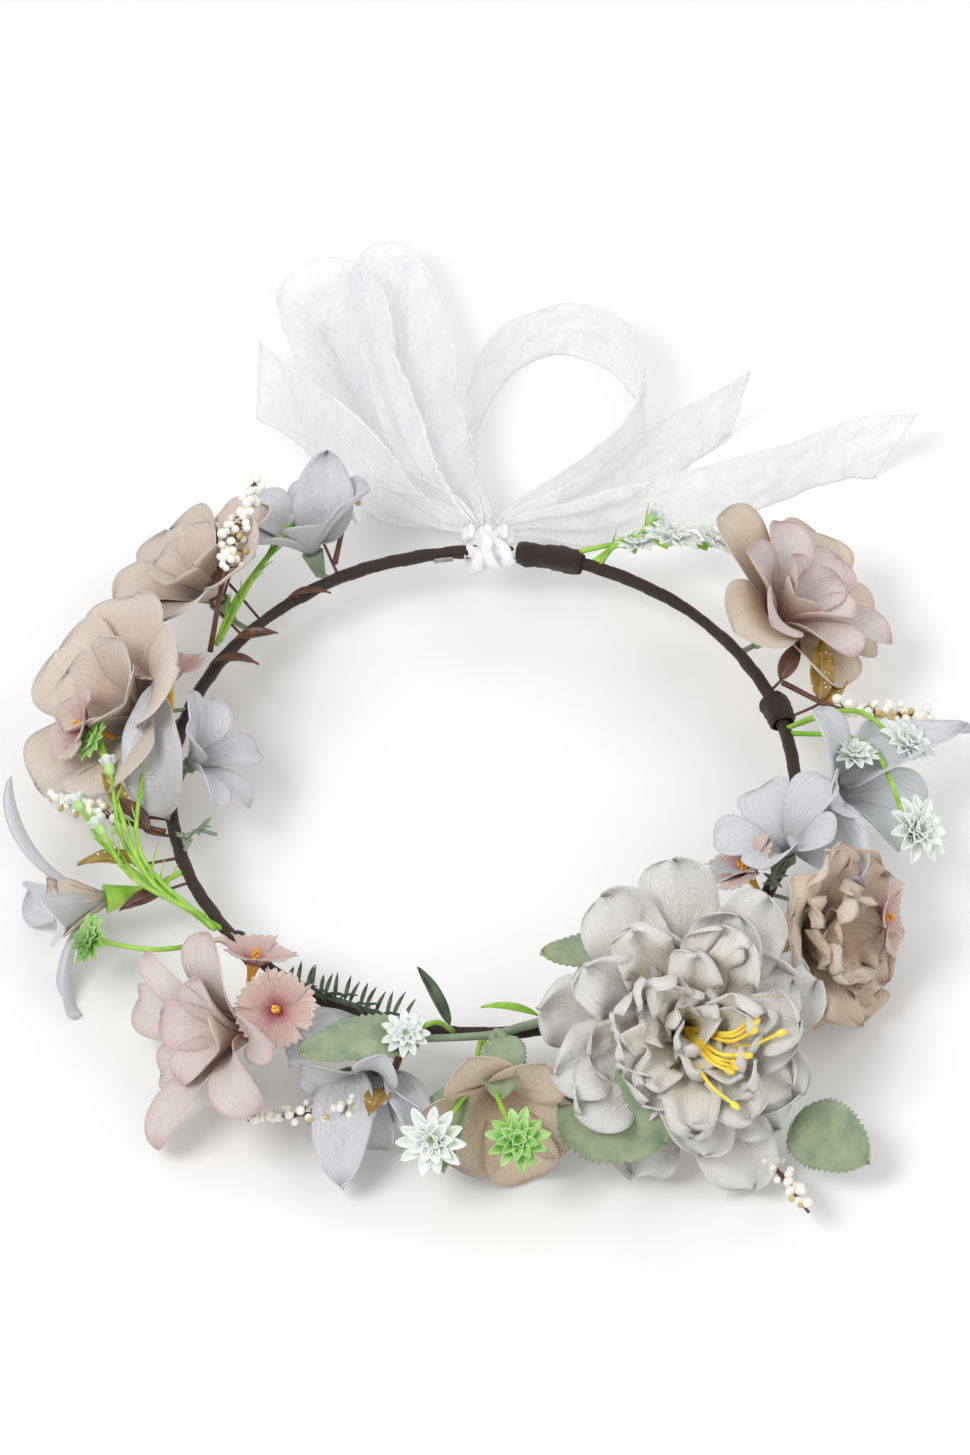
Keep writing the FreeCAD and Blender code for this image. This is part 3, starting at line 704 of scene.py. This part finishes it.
def large_flowers():
    petals("peony_outer_petals", PEONY_OUTER,
           ring(9, 49, 24, (52, 88), 0.12, ruffle=0.07, waves=2.4, wild=2.2),
           ring(9, 44, 22, (44, 80), 0.12, turn=20, ruffle=0.09, waves=2.8, lift=2, wild=2.4))
    petals("peony_middle_petals", PEONY,
           ring(10, 41, 18, (34, 70), 0.12, turn=8, ruffle=0.1, waves=3, lift=4, blunt=0.4, wild=2.6),
           ring(8, 35, 16, (24, 58), 0.15, turn=30, ruffle=0.11, waves=3, lift=6, blunt=0.4, wild=2.6))
    petals("peony_inner_petals", PEONY,
           ring(7, 30, 13, (14, 44), 0.2, ruffle=0.11, waves=3, lift=8, blunt=0.4, wild=2.6),
           ring(4, 22, 11, (4, 28), 0.25, turn=110, ruffle=0.11, waves=3, lift=9, wild=2.4))
    petals("right_magnolia_outer_petals", MAGNOLIA_OUTER,
           ring(5, 38, 27, (44, 92), 0.16, turn=60, blunt=0.5, wild=1.5))
    petals("right_magnolia_inner_petals", MAGNOLIA,
           ring(6, 34, 18, (34, 82), 0.2, turn=16, blunt=0.6, lift=1.5, wild=1.5),
           ring(4, 26, 14, (10, 52), 0.3, turn=46, blunt=0.6, lift=3, wild=1.5))
    petals("left_magnolia_outer_petals", MAGNOLIA,
           ring(7, 43, 15, (34, 104), 0.22, blunt=0.65, curl=1.6, wild=2.4))
    petals("left_magnolia_inner_petals", MAGNOLIA, ring(4, 27, 15, (12, 62), 0.3, turn=30, blunt=0.6, lift=2))
    petals("left_blush_outer_petals", BLUSH, ring(5, 39, 34, (42, 84), 0.12, ruffle=0.03, waves=2))
    petals("left_blush_inner_petals", BLUSH,
           ring(4, 27, 23, (18, 62), 0.2, turn=36, ruffle=0.03, waves=2, lift=2))
    petals("back_left_blush_petals", BLUSH,
           ring(5, 34, 28, (38, 84), 0.15, turn=18, ruffle=0.02),
           ring(4, 23, 18, (15, 58), 0.25, lift=2))
    petals("back_grey_petals", GREY_WHITE, ring(5, 28, 20, (36, 80), 0.2))
    petals("carnation_outer_petals", BEIGE, ring(6, 34, 30, (38, 88), 0.08, ruffle=0.09, waves=3.5, wild=1.6))
    petals("carnation_inner_petals", BEIGE,
           ring(7, 27, 22, (14, 60), 0.1, turn=30, ruffle=0.12, waves=4, lift=2, wild=2))
    petals("front_blush_petals", BEIGE, ring(6, 29, 22, (34, 90), 0.18, turn=54, blunt=0.6))
    petals("right_lily_petals", GREY_WHITE, ring(5, 31, 16, (30, 86), 0.22, blunt=0.75))
    petals("inner_left_petals", GREY_WHITE, ring(6, 23, 11, (26, 80), 0.2, blunt=0.6, wild=2))
    petals("inner_right_petals", GREY_WHITE, ring(5, 24, 17, (40, 80), 0.2, turn=20))
    petals("front_grey_petals", GREY_WHITE, ring(5, 26, 14, (32, 84), 0.25, blunt=0.75))
    petals("left_trumpet_petals", GREY_WHITE,
           ring(4, 47, 14, (14, 104), 0.25, turn=45, blunt=0.8, curl=0.8),
           ring(6, 18, 15, (14, 34), 0.2, lift=-1, slot=2))


def peony_stamens():
    """Curved filaments with powdery anthers."""
    build = Builder()
    place = bloom_place(*BLOOMS["peony"])
    pick = random.Random(5)
    for number in range(10):
        turn = math.degrees(-0.75 + 0.16 * (number - 4.5) + pick.uniform(-0.15, 0.15))
        reach = pick.uniform(14, 27)
        height = 38 - 0.2 * reach + pick.uniform(-1, 2)
        bends = [(0, turn, 12), (0.25 * reach, turn, 21), (0.6 * reach, turn, height),
                 (reach, turn + math.degrees(0.25), height + 1)]
        run = smooth_path([place @ around(*bend) for bend in bends], 5)
        build.tube(run, lambda share: 0.75 - 0.25 * share, 7, chance=pick.random())
        build.ball(run[-1], 1.1, 0, pick.random(), 1.7, (run[-1] - run[-3]).normalized())
    keep(build.make("peony_stamen_cluster", [yellow]), "peony_stamens", slot="stamen_yellow")


# --- small blossoms and stars
# hoop angle of the stem, place of the hub, and the azimuth and rise that it faces
PINK_BLOSSOMS = [
    (-126, (112, -123, 10), (-100, 55)),
    (-131, (103, -131.5, 10), (70, 50)),
    (-27, (89, -27, 8), (150, 55)),
    (-26, (130, -24.5, 4), (-12, 12)),
    (170, (121, 173, 10), (178, 28)),
    (161, (101, 162, 12), (100, 55)),
]
PINK_TUBE = 9.0
PINK_BEADS = 16


def pink_blossoms():
    """Serrated blossoms, each on an orange tube with a beaded stamen."""
    cloth = Builder()
    tubes = Builder()
    for number, (hoop_angle, base, face) in enumerate(PINK_BLOSSOMS):
        place = bloom_place(base, face)
        whorl(cloth, place, 5, turn=14 * number, seed=number, length=12.5, width=14, lean=(48, 84), cup=0.08,
              ruffle=0.03, waves=2, fan=True, claw=0.22, teeth=6, bite=0.13, hub=0.8, rows=12, across=20)
        foot = place @ Vector((0, 0, -PINK_TUBE))
        root = around(HOOP_RADIUS, hoop_angle)
        tubes.tube(smooth_path([root, foot * 0.5 + root * 0.5, foot], 5), 0.65, 7, slot=1)
        run = smooth_path([foot, place @ Vector((0, 0, -3)), place @ Vector((0, 0, 0.4))], 5)
        tubes.tube(run, lambda share: 0.8 + 1.2 * smooth_step(0.1, 1.0, share), 9)
        pick = random.Random(number)
        for bead in range(PINK_BEADS):
            height = 0.5 + 4.6 * bead / PINK_BEADS
            spot = place @ around(0.7, math.degrees(2.4 * bead), height)
            tubes.ball(spot, 0.62, 0, pick.random(), rings=5, sides=7)
    keep(cloth.make("pink_blossom_cloth", [pink_face, pink_face], THIN_PETAL_THICKNESS, 1),
         "pink_blossom_petals", slot="pink_fabric")
    keep(tubes.make("pink_blossom_hearts", [orange, grey_green]), "pink_blossom_tubes", slot="orange_plastic")


# hoop angle of the stem, place of the head, the azimuth and rise that it faces, and its radius
STAR_FLOWERS = [
    (14, (112, 0, 13), (60, 72), 7.0),
    (14, (128, 2, 13), (20, 60), 8.5),
    (13, (132, -12, 11), (-20, 52), 10.5),
    (-90, (139, -96, 5), (-104, 48), 9.5),
    (-90, (141, -86, 8), (-78, 58), 8.5),
    (-95, (109, -102, 14), (-90, 70), 6.5),
    (-142, (131, -152.5, 1), (-165, 40), 7.0),
    (-143, (117, 176, 11), (170, 35), 6.5),
    (69, (109, 58, 7), (60, 60), 9.0),
    (70, (117, 53, 5), (40, 40), 7.0),
    (68, (103, 62.5, 6), (90, 65), 6.0),
]
GREEN_STARS = (4, 6, 7)
# rays, share of the head's radius, lean at the hub and at the tip
STAR_TIERS = ((11, 1.0, (62, 84)), (9, 0.78, (40, 62)), (6, 0.5, (15, 35)))
LIME_STEMS = [
    [(99, -144, 3), (108, -162, 8), (103, -179, 12)],
    [(99, -145, 2), (111, -163, 7), (113, -178, 13)],
    [(99, -146, 3), (115, -164, 5), (123, -173, 9)],
    [(99, -147, 4), (113, -158, 8), (118, -167, 12)],
    [(98, 147, 4), (104, 137, 6), (114, 122, 9)],
    [(98, 146, 4), (106, 131, 8), (119, 116.5, 10)],
    [(97, 72, 3), (106, 64, 6), (112, 62, 11)],
]


def star_flowers():
    """Moulded star heads in three tiers of pointed rays, and the lime stems that carry them."""
    heads = Builder()
    stems = Builder()
    for number, (hoop_angle, base, face, reach) in enumerate(STAR_FLOWERS):
        place = bloom_place(base, face)
        for tier, (rays, size, lean) in enumerate(STAR_TIERS):
            whorl(heads, place, rays, turn=17 * tier, seed=10 * number + tier, jitter=3,
                  length=1.12 * reach * size, width=0.34 * reach, lean=lean, cup=0.5, blunt=1.0, widest=0.6,
                  claw=0.6, hub=0.5, lift=0.4 * tier, slot=int(number in GREEN_STARS), rows=7, across=4)
        chance = number / len(STAR_FLOWERS)
        stems.ball(place @ Vector((0, 0, 0.3)), 0.2 * reach, 1, chance, 0.8, facing(*face))
        knee = around(0.4 * HOOP_RADIUS + 0.6 * base[0], 0.6 * hoop_angle + 0.4 * base[1], base[2] + 1)
        if abs(hoop_angle - base[1]) > 180:    # the stem runs past the left, where angles start again
            knee = around(HOOP_RADIUS + 14, -158, base[2] - 3)
        run = smooth_path([around(HOOP_RADIUS, hoop_angle), knee, place @ Vector((0, 0, -0.7))], 8)
        stems.tube(run, lambda share: 0.8 + 0.7 * smooth_step(0.85, 1.0, share), 7)
    for number, points in enumerate(LIME_STEMS):
        run = path_around(points, 10)
        stems.tube(run, lambda share: 0.85 - 0.2 * share, 7)
        ahead = (run[-1] - run[-3]).normalized()
        stems.ball(run[-1], 1.7, 1, number / len(LIME_STEMS), 1.5, ahead)
        for side in range(6):
            spot = run[6 + 2 * side]
            needle = facing(60 * side + 35 * number, 35)
            stems.tube([spot, spot + (ahead * 0.7 + needle * 0.6) * 3, spot + (ahead + needle * 0.7) * 6],
                       lambda share: 0.5 - 0.38 * share, 5)
        bell = frame_on(run[-1], ahead)
        whorl(heads, bell, 5, seed=80 + number, length=4.6, width=3.0, lean=(16, 50), claw=0.6, hub=0.4,
              blunt=0.9, rows=6, across=4)
    keep(heads.make("star_flower_heads", [star_white, star_green], PETAL_THICKNESS), "star_flowers",
         slot="star_plastic")
    keep(stems.make("lime_stem_bundle", [lime, star_green]), "lime_stems", slot="lime_plastic")


# --- sprigs and leaves
# points of the stem, and how many beads it carries
BEAD_SPRIGS = [
    ([(98, 149, 4), (103, 140, 25), (119, 126, 33)], 48),
    ([(98, 118, 4), (110, 113, 9), (121, 110, 10)], 28),
    ([(99, 22, 5), (113, 12, 8), (138, 8.5, 9)], 48),
    ([(98, -168, 3), (113, -171.5, 5), (131, -176, 6)], 36),
    ([(97, -103, -2), (121, -106, -5), (141, -119.5, -6)], 52),
    ([(97, -62, -3), (140, -57, -15), (180, -58, -11)], 36),
]


def bead_sprigs():
    """Brown stems with stalked pearl beads and small gold seeds wound round the outer stretch."""
    build = Builder()
    for number, (points, count) in enumerate(BEAD_SPRIGS):
        pick = random.Random(40 + number)
        run = path_around(points, 14)
        build.tube(run, lambda share: 0.95 - 0.45 * share, 7, slot=1)
        half = len(run) // 2
        for bead in range(count):
            share = (bead + 0.5) / count
            centre = run[half + int(share * (len(run) - 1 - half))]
            out = facing(GOLDEN_ANGLE * bead, pick.uniform(-25, 60))
            reach = pick.uniform(1.8, 4.6) * (1.2 - 0.6 * share)
            spot = centre + out * reach
            build.tube([centre, centre + out * (0.6 * reach), spot], 0.28, 5, slot=1)
            gold = bead % 5 == 3
            size = pick.uniform(0.9, 1.2) if gold else pick.uniform(1.1, 1.75)
            build.ball(spot, size, 2 if gold else 0, pick.random())
    keep(build.make("bead_sprig_clusters", [pearl, brown_stem, straw]), "bead_sprigs", slot="pearl_beads")


# root, azimuth, rise, length, width, and the roll of a flocked leaf
GOLD_LEAVES = [
    ((107, 16, 4), 88, 12, 22, 8),
    ((107, 14, 3), 60, -5, 17, 6),
    ((119, -104, -2), -112, 15, 13, 8),
    ((107, 118, 7), 104, 20, 13, 7),
    ((107, -163, 1), 186, 5, 20, 7),
    ((108, -172, 5), 128, 25, 15, 6),
]
BROWN_LEAVES = [
    ((99, 23, 4), 62, 20, 14, 6),
    ((95, 129, 3), -4, 10, 13, 3.5),
    ((95, 143, 3), -2, 10, 13, 4),
    ((95, 150, 3), -14, 8, 14, 4.5),
    ((108, 141, 7), 74, 30, 12, 4.5),
    ((110, 136, 7), 165, 20, 12, 4.5),
    ((103, -168, 4), 140, 20, 15, 6),
    ((104, -157, 0), 205, -8, 15, 5),
]
FLOCKED_LEAVES = [
    ((91, -57, 6), 172, 4, 33, 17, 8),
    ((122, -79, 2), -28, -3, 35, 28, 34),
    ((150, -52, -12), -40, 5, 28, 22, 24),
    ((105.5, -100, 9), 192, 4, 37, 16, -8),
    ((105, -86, 11), -96, -8, 22, 14, 10),
    ((112, -94, -3), -97, -8, 30, 17, 30),
]
BLADES = [
    ((95, -96, 3), 122, 24, 20, 4),
    ((93, -80, 4), 176, 8, 17, 3),
]
# x, y, z of the stem shared by the front leaves
FRONT_STEMS = [
    [(26, -90, 3), (12, -97, 6), (2, -101, 7), (-18, -104, 9)],
    [(2, -101, 7), (12, -112, 6), (23, -120, 3)],
    [(4, -100, 7), (6, -104, 10), (7, -108, 11)],
]
TWIGS = [
    [(95, -176), (90, 179, 6), (86, 176, 9)],
    [(95, -163), (90, -166, 5), (84, -163, 7)],
    [(95, -22), (98, -27, 8), (91, -19, 11)],
]
NEEDLES = 30
ROSEMARY = [(98.5, -126, 4), (97, -115, 6), (98, -103, 5)]


def plastic_leaves():
    for node, table, material, slot in (("gold_leaves", GOLD_LEAVES, gold_leaf, "gold_leaf"),
                                        ("brown_leaves", BROWN_LEAVES, brown_leaf, "brown_leaf")):
        build = Builder()
        for number, (root, azimuth, rise, length, width) in enumerate(table):
            foot = around(*root)
            leaf_blade(build, foot, azimuth, rise, length, width, 12 * (-1) ** number, fold=0.16, blunt=0.85,
                       chance=number / len(BROWN_LEAVES))
            stalk = smooth_path([around(HOOP_RADIUS, root[1]), foot, foot + facing(azimuth, rise) * 3], 4)
            build.tube(stalk, 0.5, 6, slot=1)
        keep(build.make(node + "_moulded", [material, brown_stem], PETAL_THICKNESS), node, slot=slot)


def flocked_leaves():
    build = Builder()
    for number, (root, azimuth, rise, length, width, roll) in enumerate(FLOCKED_LEAVES):
        leaf_blade(build, around(*root), azimuth, rise, length, width, roll, arch=0.09, fold=0.07, teeth=17,
                   bite=0.16, blunt=0.55, chance=number / len(FLOCKED_LEAVES), rows=68, across=12)
    cloth = build.make("flocked_leaf_blades", [flock, flock_back], LEAF_THICKNESS, 1)
    keep(cloth, "flocked_leaves", slot="flocked_leaf")
    stems = Builder()
    for points in FRONT_STEMS:
        stems.tube(smooth_path([Vector(point) for point in points], 8), lambda share: 1.5 - 0.4 * share, 10)
    keep(stems.make("flocked_leaf_stems", [grey_green]), slot="green_stem")


def thin_sprigs():
    """The needle-leaved sprig, two grass blades and three short twigs."""
    build = Builder()
    run = path_around(ROSEMARY, 12)
    build.tube(run, 0.8, 7)
    pick = random.Random(3)
    for number in range(NEEDLES):
        foot = run[int(number * (len(run) - 1) / NEEDLES)]
        heading = 20 + 110 * (number % 2) - 60 + pick.uniform(-15, 15)
        leaf_blade(build, foot, heading, pick.uniform(10, 45), pick.uniform(6, 9), 1.3, rows=6, across=2,
                   fold=0.3, chance=pick.random())
    keep(build.make("rosemary_needles", [dark_green], NEEDLE_THICKNESS), "rosemary_sprig",
         slot="dark_green_plastic")
    twigs = Builder()
    for root, azimuth, rise, length, width in BLADES:
        leaf_blade(twigs, around(*root), azimuth, rise, length, width, fold=0.3, rows=14, across=4,
                   slot=0 if azimuth < 150 else 1)
    for points in TWIGS:
        line = path_around(points, 6)
        twigs.tube(line, 0.6, 6, slot=2)
        for number in range(1, 9):
            leaf_blade(twigs, line[number], 50 * number, 30, 5, 1.6, rows=6, across=2, slot=2)
    keep(twigs.make("thin_twigs_and_blades", [dark_green, lime, grey_green], NEEDLE_THICKNESS), "thin_sprigs",
         slot="dark_green_plastic")


# --- ribbon bow
# plan points (x, y), lean of the band at its widest, and how far its end is cut on a slant
RIBBONS = {
    "ribbon_left_tail": ([(-6, 104), (-14, 111), (-34, 136), (-52, 160), (-72, 179)], -24, 0.3),
    "ribbon_left_loop_outer": ([(-4.5, 104), (-14, 117), (-33, 148), (-48, 180), (-58, 208), (-50, 219),
        (-41, 210), (-35, 180), (-25, 143), (-9, 115), (-3.2, 104)], 52, 0.0),
    "ribbon_left_loop_inner": ([(-1.8, 104), (-7, 118), (-19, 145), (-29, 180), (-35, 212), (-30, 226),
        (-23, 214), (-18, 184), (-12, 146), (-3, 118), (0, 104)], 48, 0.0),
    "ribbon_right_loop": ([(2, 104), (0, 120), (-5, 148), (-2, 172), (8, 191), (25, 200), (42, 194),
        (51, 176), (48, 157), (34, 139), (14, 119), (4, 104)], 4, 0.0),
    "ribbon_right_tail_upper": ([(6, 104), (12, 111), (28, 123), (48, 141), (65, 154), (82, 168)], 6, 0.3),
    "ribbon_right_tail_lower": ([(8, 104), (16, 109), (32, 116), (52, 124), (75, 130), (96, 139),
        (115, 148), (131, 150)], 8, 0.5),
}
THROAT_HALF_WIDTH = 3.6
KNOT_SIDES = 10
KNOT_STEPS = 40


def ribbon(name, plan, lean, slant):
    """Organza band on edge, pleated where it is gathered at the knot."""
    run = smooth_path([Vector((x, y, 0)) for x, y in plan], 14)
    total = sum((b - a).length for a, b in zip(run, run[1:]))
    loop = "loop" in name
    build = Builder()
    rows = []
    shares = []
    across = 24
    clearance = 0.3
    seed = hash_name(name)
    walked = 0.0
    for number, centre in enumerate(run):
        ahead = (run[min(number + 1, len(run) - 1)] - run[max(number - 1, 0)]).normalized()
        normal = Vector((-ahead.y, ahead.x, 0))
        if number:
            walked += (centre - run[number - 1]).length
        from_knot = min(walked, total - walked) if loop else walked
        spread = smooth_step(0, 42, from_knot)
        half = mix(THROAT_HALF_WIDTH, 0.5 * RIBBON_WIDTH, spread)
        tilt = math.radians(lean) * spread
        height = mix(0.0, REST_HEIGHT + half * math.cos(tilt) + clearance, spread)
        upward = UP * math.cos(tilt) + normal * math.sin(tilt)
        pleat = 1.5 * (1 - smooth_step(4, 60, from_knot)) * smooth_step(0, 6, from_knot)
        end_cut = slant * 14 * max(0.0, (walked / total - 0.8) / 0.2) if not loop else 0.0
        row = []
        for step in range(across + 1):
            t = 2 * step / across - 1
            crinkle = noise.noise(Vector((walked * 0.16, t * 2.2, seed))) * 1.1 * spread
            crinkle += noise.noise(Vector((walked * 0.55, t * 5.0, seed + 9))) * 0.35 * spread
            fold = pleat * math.sin(7.5 * t + seed)
            edge_wave = 0.9 * spread * t * math.sin(walked * 0.11 + seed)
            row.append(centre + upward * (half * t) + UP * height + normal * (crinkle + fold + edge_wave)
                       + ahead * (end_cut * t))
        rows.append(row)
        shares.append(walked / total)
    build.grid(rows, shares)
    build.slots = [int(index % across in (0, across - 1)) for index in range(len(build.slots))]
    for point in build.points:
        point.z = max(point.z, REST_HEIGHT + clearance)
    piece = build.make(name + "_organza", [sheer, selvedge], RIBBON_THICKNESS)
    keep(piece, name, body="bow", slot="organza")


def ribbon_knot():
    """Twisted folds of ribbon wound over the hoop, round the hole that the hoop passes through."""
    build = Builder()
    centre = Vector((2.0, HOOP_RADIUS - 0.2, 0))
    for strand in range(4):
        rows = []
        shares = [step / KNOT_STEPS for step in range(KNOT_STEPS + 1)]
        for share in shares:
            turn = 2 * math.pi * share
            drift = 2.6 * math.sin(turn + 1.6 * strand) + 2.2 * (strand - 1.5)
            swell = 4.6 + 1.2 * math.sin(2 * turn + strand)
            row = []
            for k in range(KNOT_SIDES):
                side = 2 * math.pi * k / KNOT_SIDES
                radius = swell + 1.35 * math.cos(side) * (1 + 0.25 * math.sin(5 * turn + strand))
                row.append(centre + Vector((drift + 2.0 * math.sin(side), radius * math.cos(turn),
                                            0.85 * radius * math.sin(turn))))
            rows.append(row)
        build.grid(rows, shares, strand / 4, wrap=True)
    throat = smooth_path([Vector((1, 99.5, 0)), Vector((1, 102, 0)), Vector((1, 104.5, 0))], 4)
    for strand in range(9):
        offset = Vector((-6.4 + 1.75 * strand, 0, 1.4 * math.sin(2.1 * strand)))
        build.tube([point + offset for point in throat], 1.25, 8, chance=strand / 9)
    keep(build.make("ribbon_knot_twist", [knot_cloth]), "ribbon_knot", body="bow", slot="organza")


def ribbon_wrap():
    """Ribbon wound round the hoop under the knot."""
    def size(share, side, angle):
        return 2.15 + 0.12 * math.sin(9 * math.pi * share + 2 * math.pi * side)

    build = sleeve(83.8, 93.6, 40, 16, size)
    keep(build.make("ribbon_wrap_cloth", [knot_cloth]), "ribbon_wrap", slot="organza")


# --- CAD nodes that stay
def carried_over():
    """Stems and bare wire keep their CAD shape and get a material."""
    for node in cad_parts:
        piece = bpy.data.objects.get(node)
        if piece is None:
            continue
        if node.endswith("_stem"):
            material = lime if node == "left_trumpet_stem" else grey_green
        elif node in ("core_wire", "wire_end"):
            material = steel
        else:
            continue
        for slot in piece.material_slots:
            slot.material = material


# --- stage
WORLD_STRENGTH = 0.6
# name, place in metres, power, size
LIGHTS = (("key", (-0.7, -0.6, 1.3), 11, 0.6), ("fill", (0.9, -0.3, 0.9), 3.6, 1.0),
          ("rim", (0.1, 1.0, 0.9), 2.2, 0.8))
CAMERA_RISE = 50
CAMERA_LENS = 200
SENSOR_WIDTH = 36
VIEW_WIDTH = 0.445


def stage():
    floor_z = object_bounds()[0][2]
    bpy.ops.mesh.primitive_plane_add(size=6, location=(0, 0, floor_z - 0.0002))
    floor = bpy.context.object
    floor.name = "studio_floor"
    floor.data.materials.append(Tree("studio_floor_white", (0.94, 0.94, 0.94), 0.9).material)
    floor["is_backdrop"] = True
    world = bpy.data.worlds.new("studio")
    world.use_nodes = True
    background = world.node_tree.nodes["Background"]
    background.inputs["Color"].default_value = (1, 1, 1, 1)
    background.inputs["Strength"].default_value = WORLD_STRENGTH
    bpy.context.scene.world = world
    for name, place, power, size in LIGHTS:
        light = bpy.data.lights.new(name, "AREA")
        light.energy = power
        light.size = size
        lamp = bpy.data.objects.new(name, light)
        lamp.location = place
        lamp.rotation_euler = (Vector((0, 0, 0)) - Vector(place)).to_track_quat("-Z", "Y").to_euler()
        bpy.context.scene.collection.objects.link(lamp)
    bpy.context.scene.view_settings.view_transform = "Standard"


def camera():
    """Looks down from the front; the frame's longer side spans the view width at the hoop."""
    rise = math.radians(CAMERA_RISE)
    aim = Vector((0.0006, 0.0234, 0))
    distance = VIEW_WIDTH * CAMERA_LENS / SENSOR_WIDTH
    data = bpy.data.cameras.new("main_view")
    data.lens = CAMERA_LENS
    view = bpy.data.objects.new("main_view", data)
    view.location = aim + Vector((0, -math.cos(rise), math.sin(rise))) * distance
    view.rotation_euler = (aim - view.location).to_track_quat("-Z", "Y").to_euler()
    bpy.context.scene.collection.objects.link(view)
    bpy.context.scene.camera = view


camera()
hoop()
large_flowers()
peony_stamens()
pink_blossoms()
star_flowers()
bead_sprigs()
plastic_leaves()
flocked_leaves()
thin_sprigs()
ribbon_knot()
ribbon_wrap()
for ribbon_name, ribbon_shape in RIBBONS.items():
    ribbon(ribbon_name, *ribbon_shape)
carried_over()
stage()
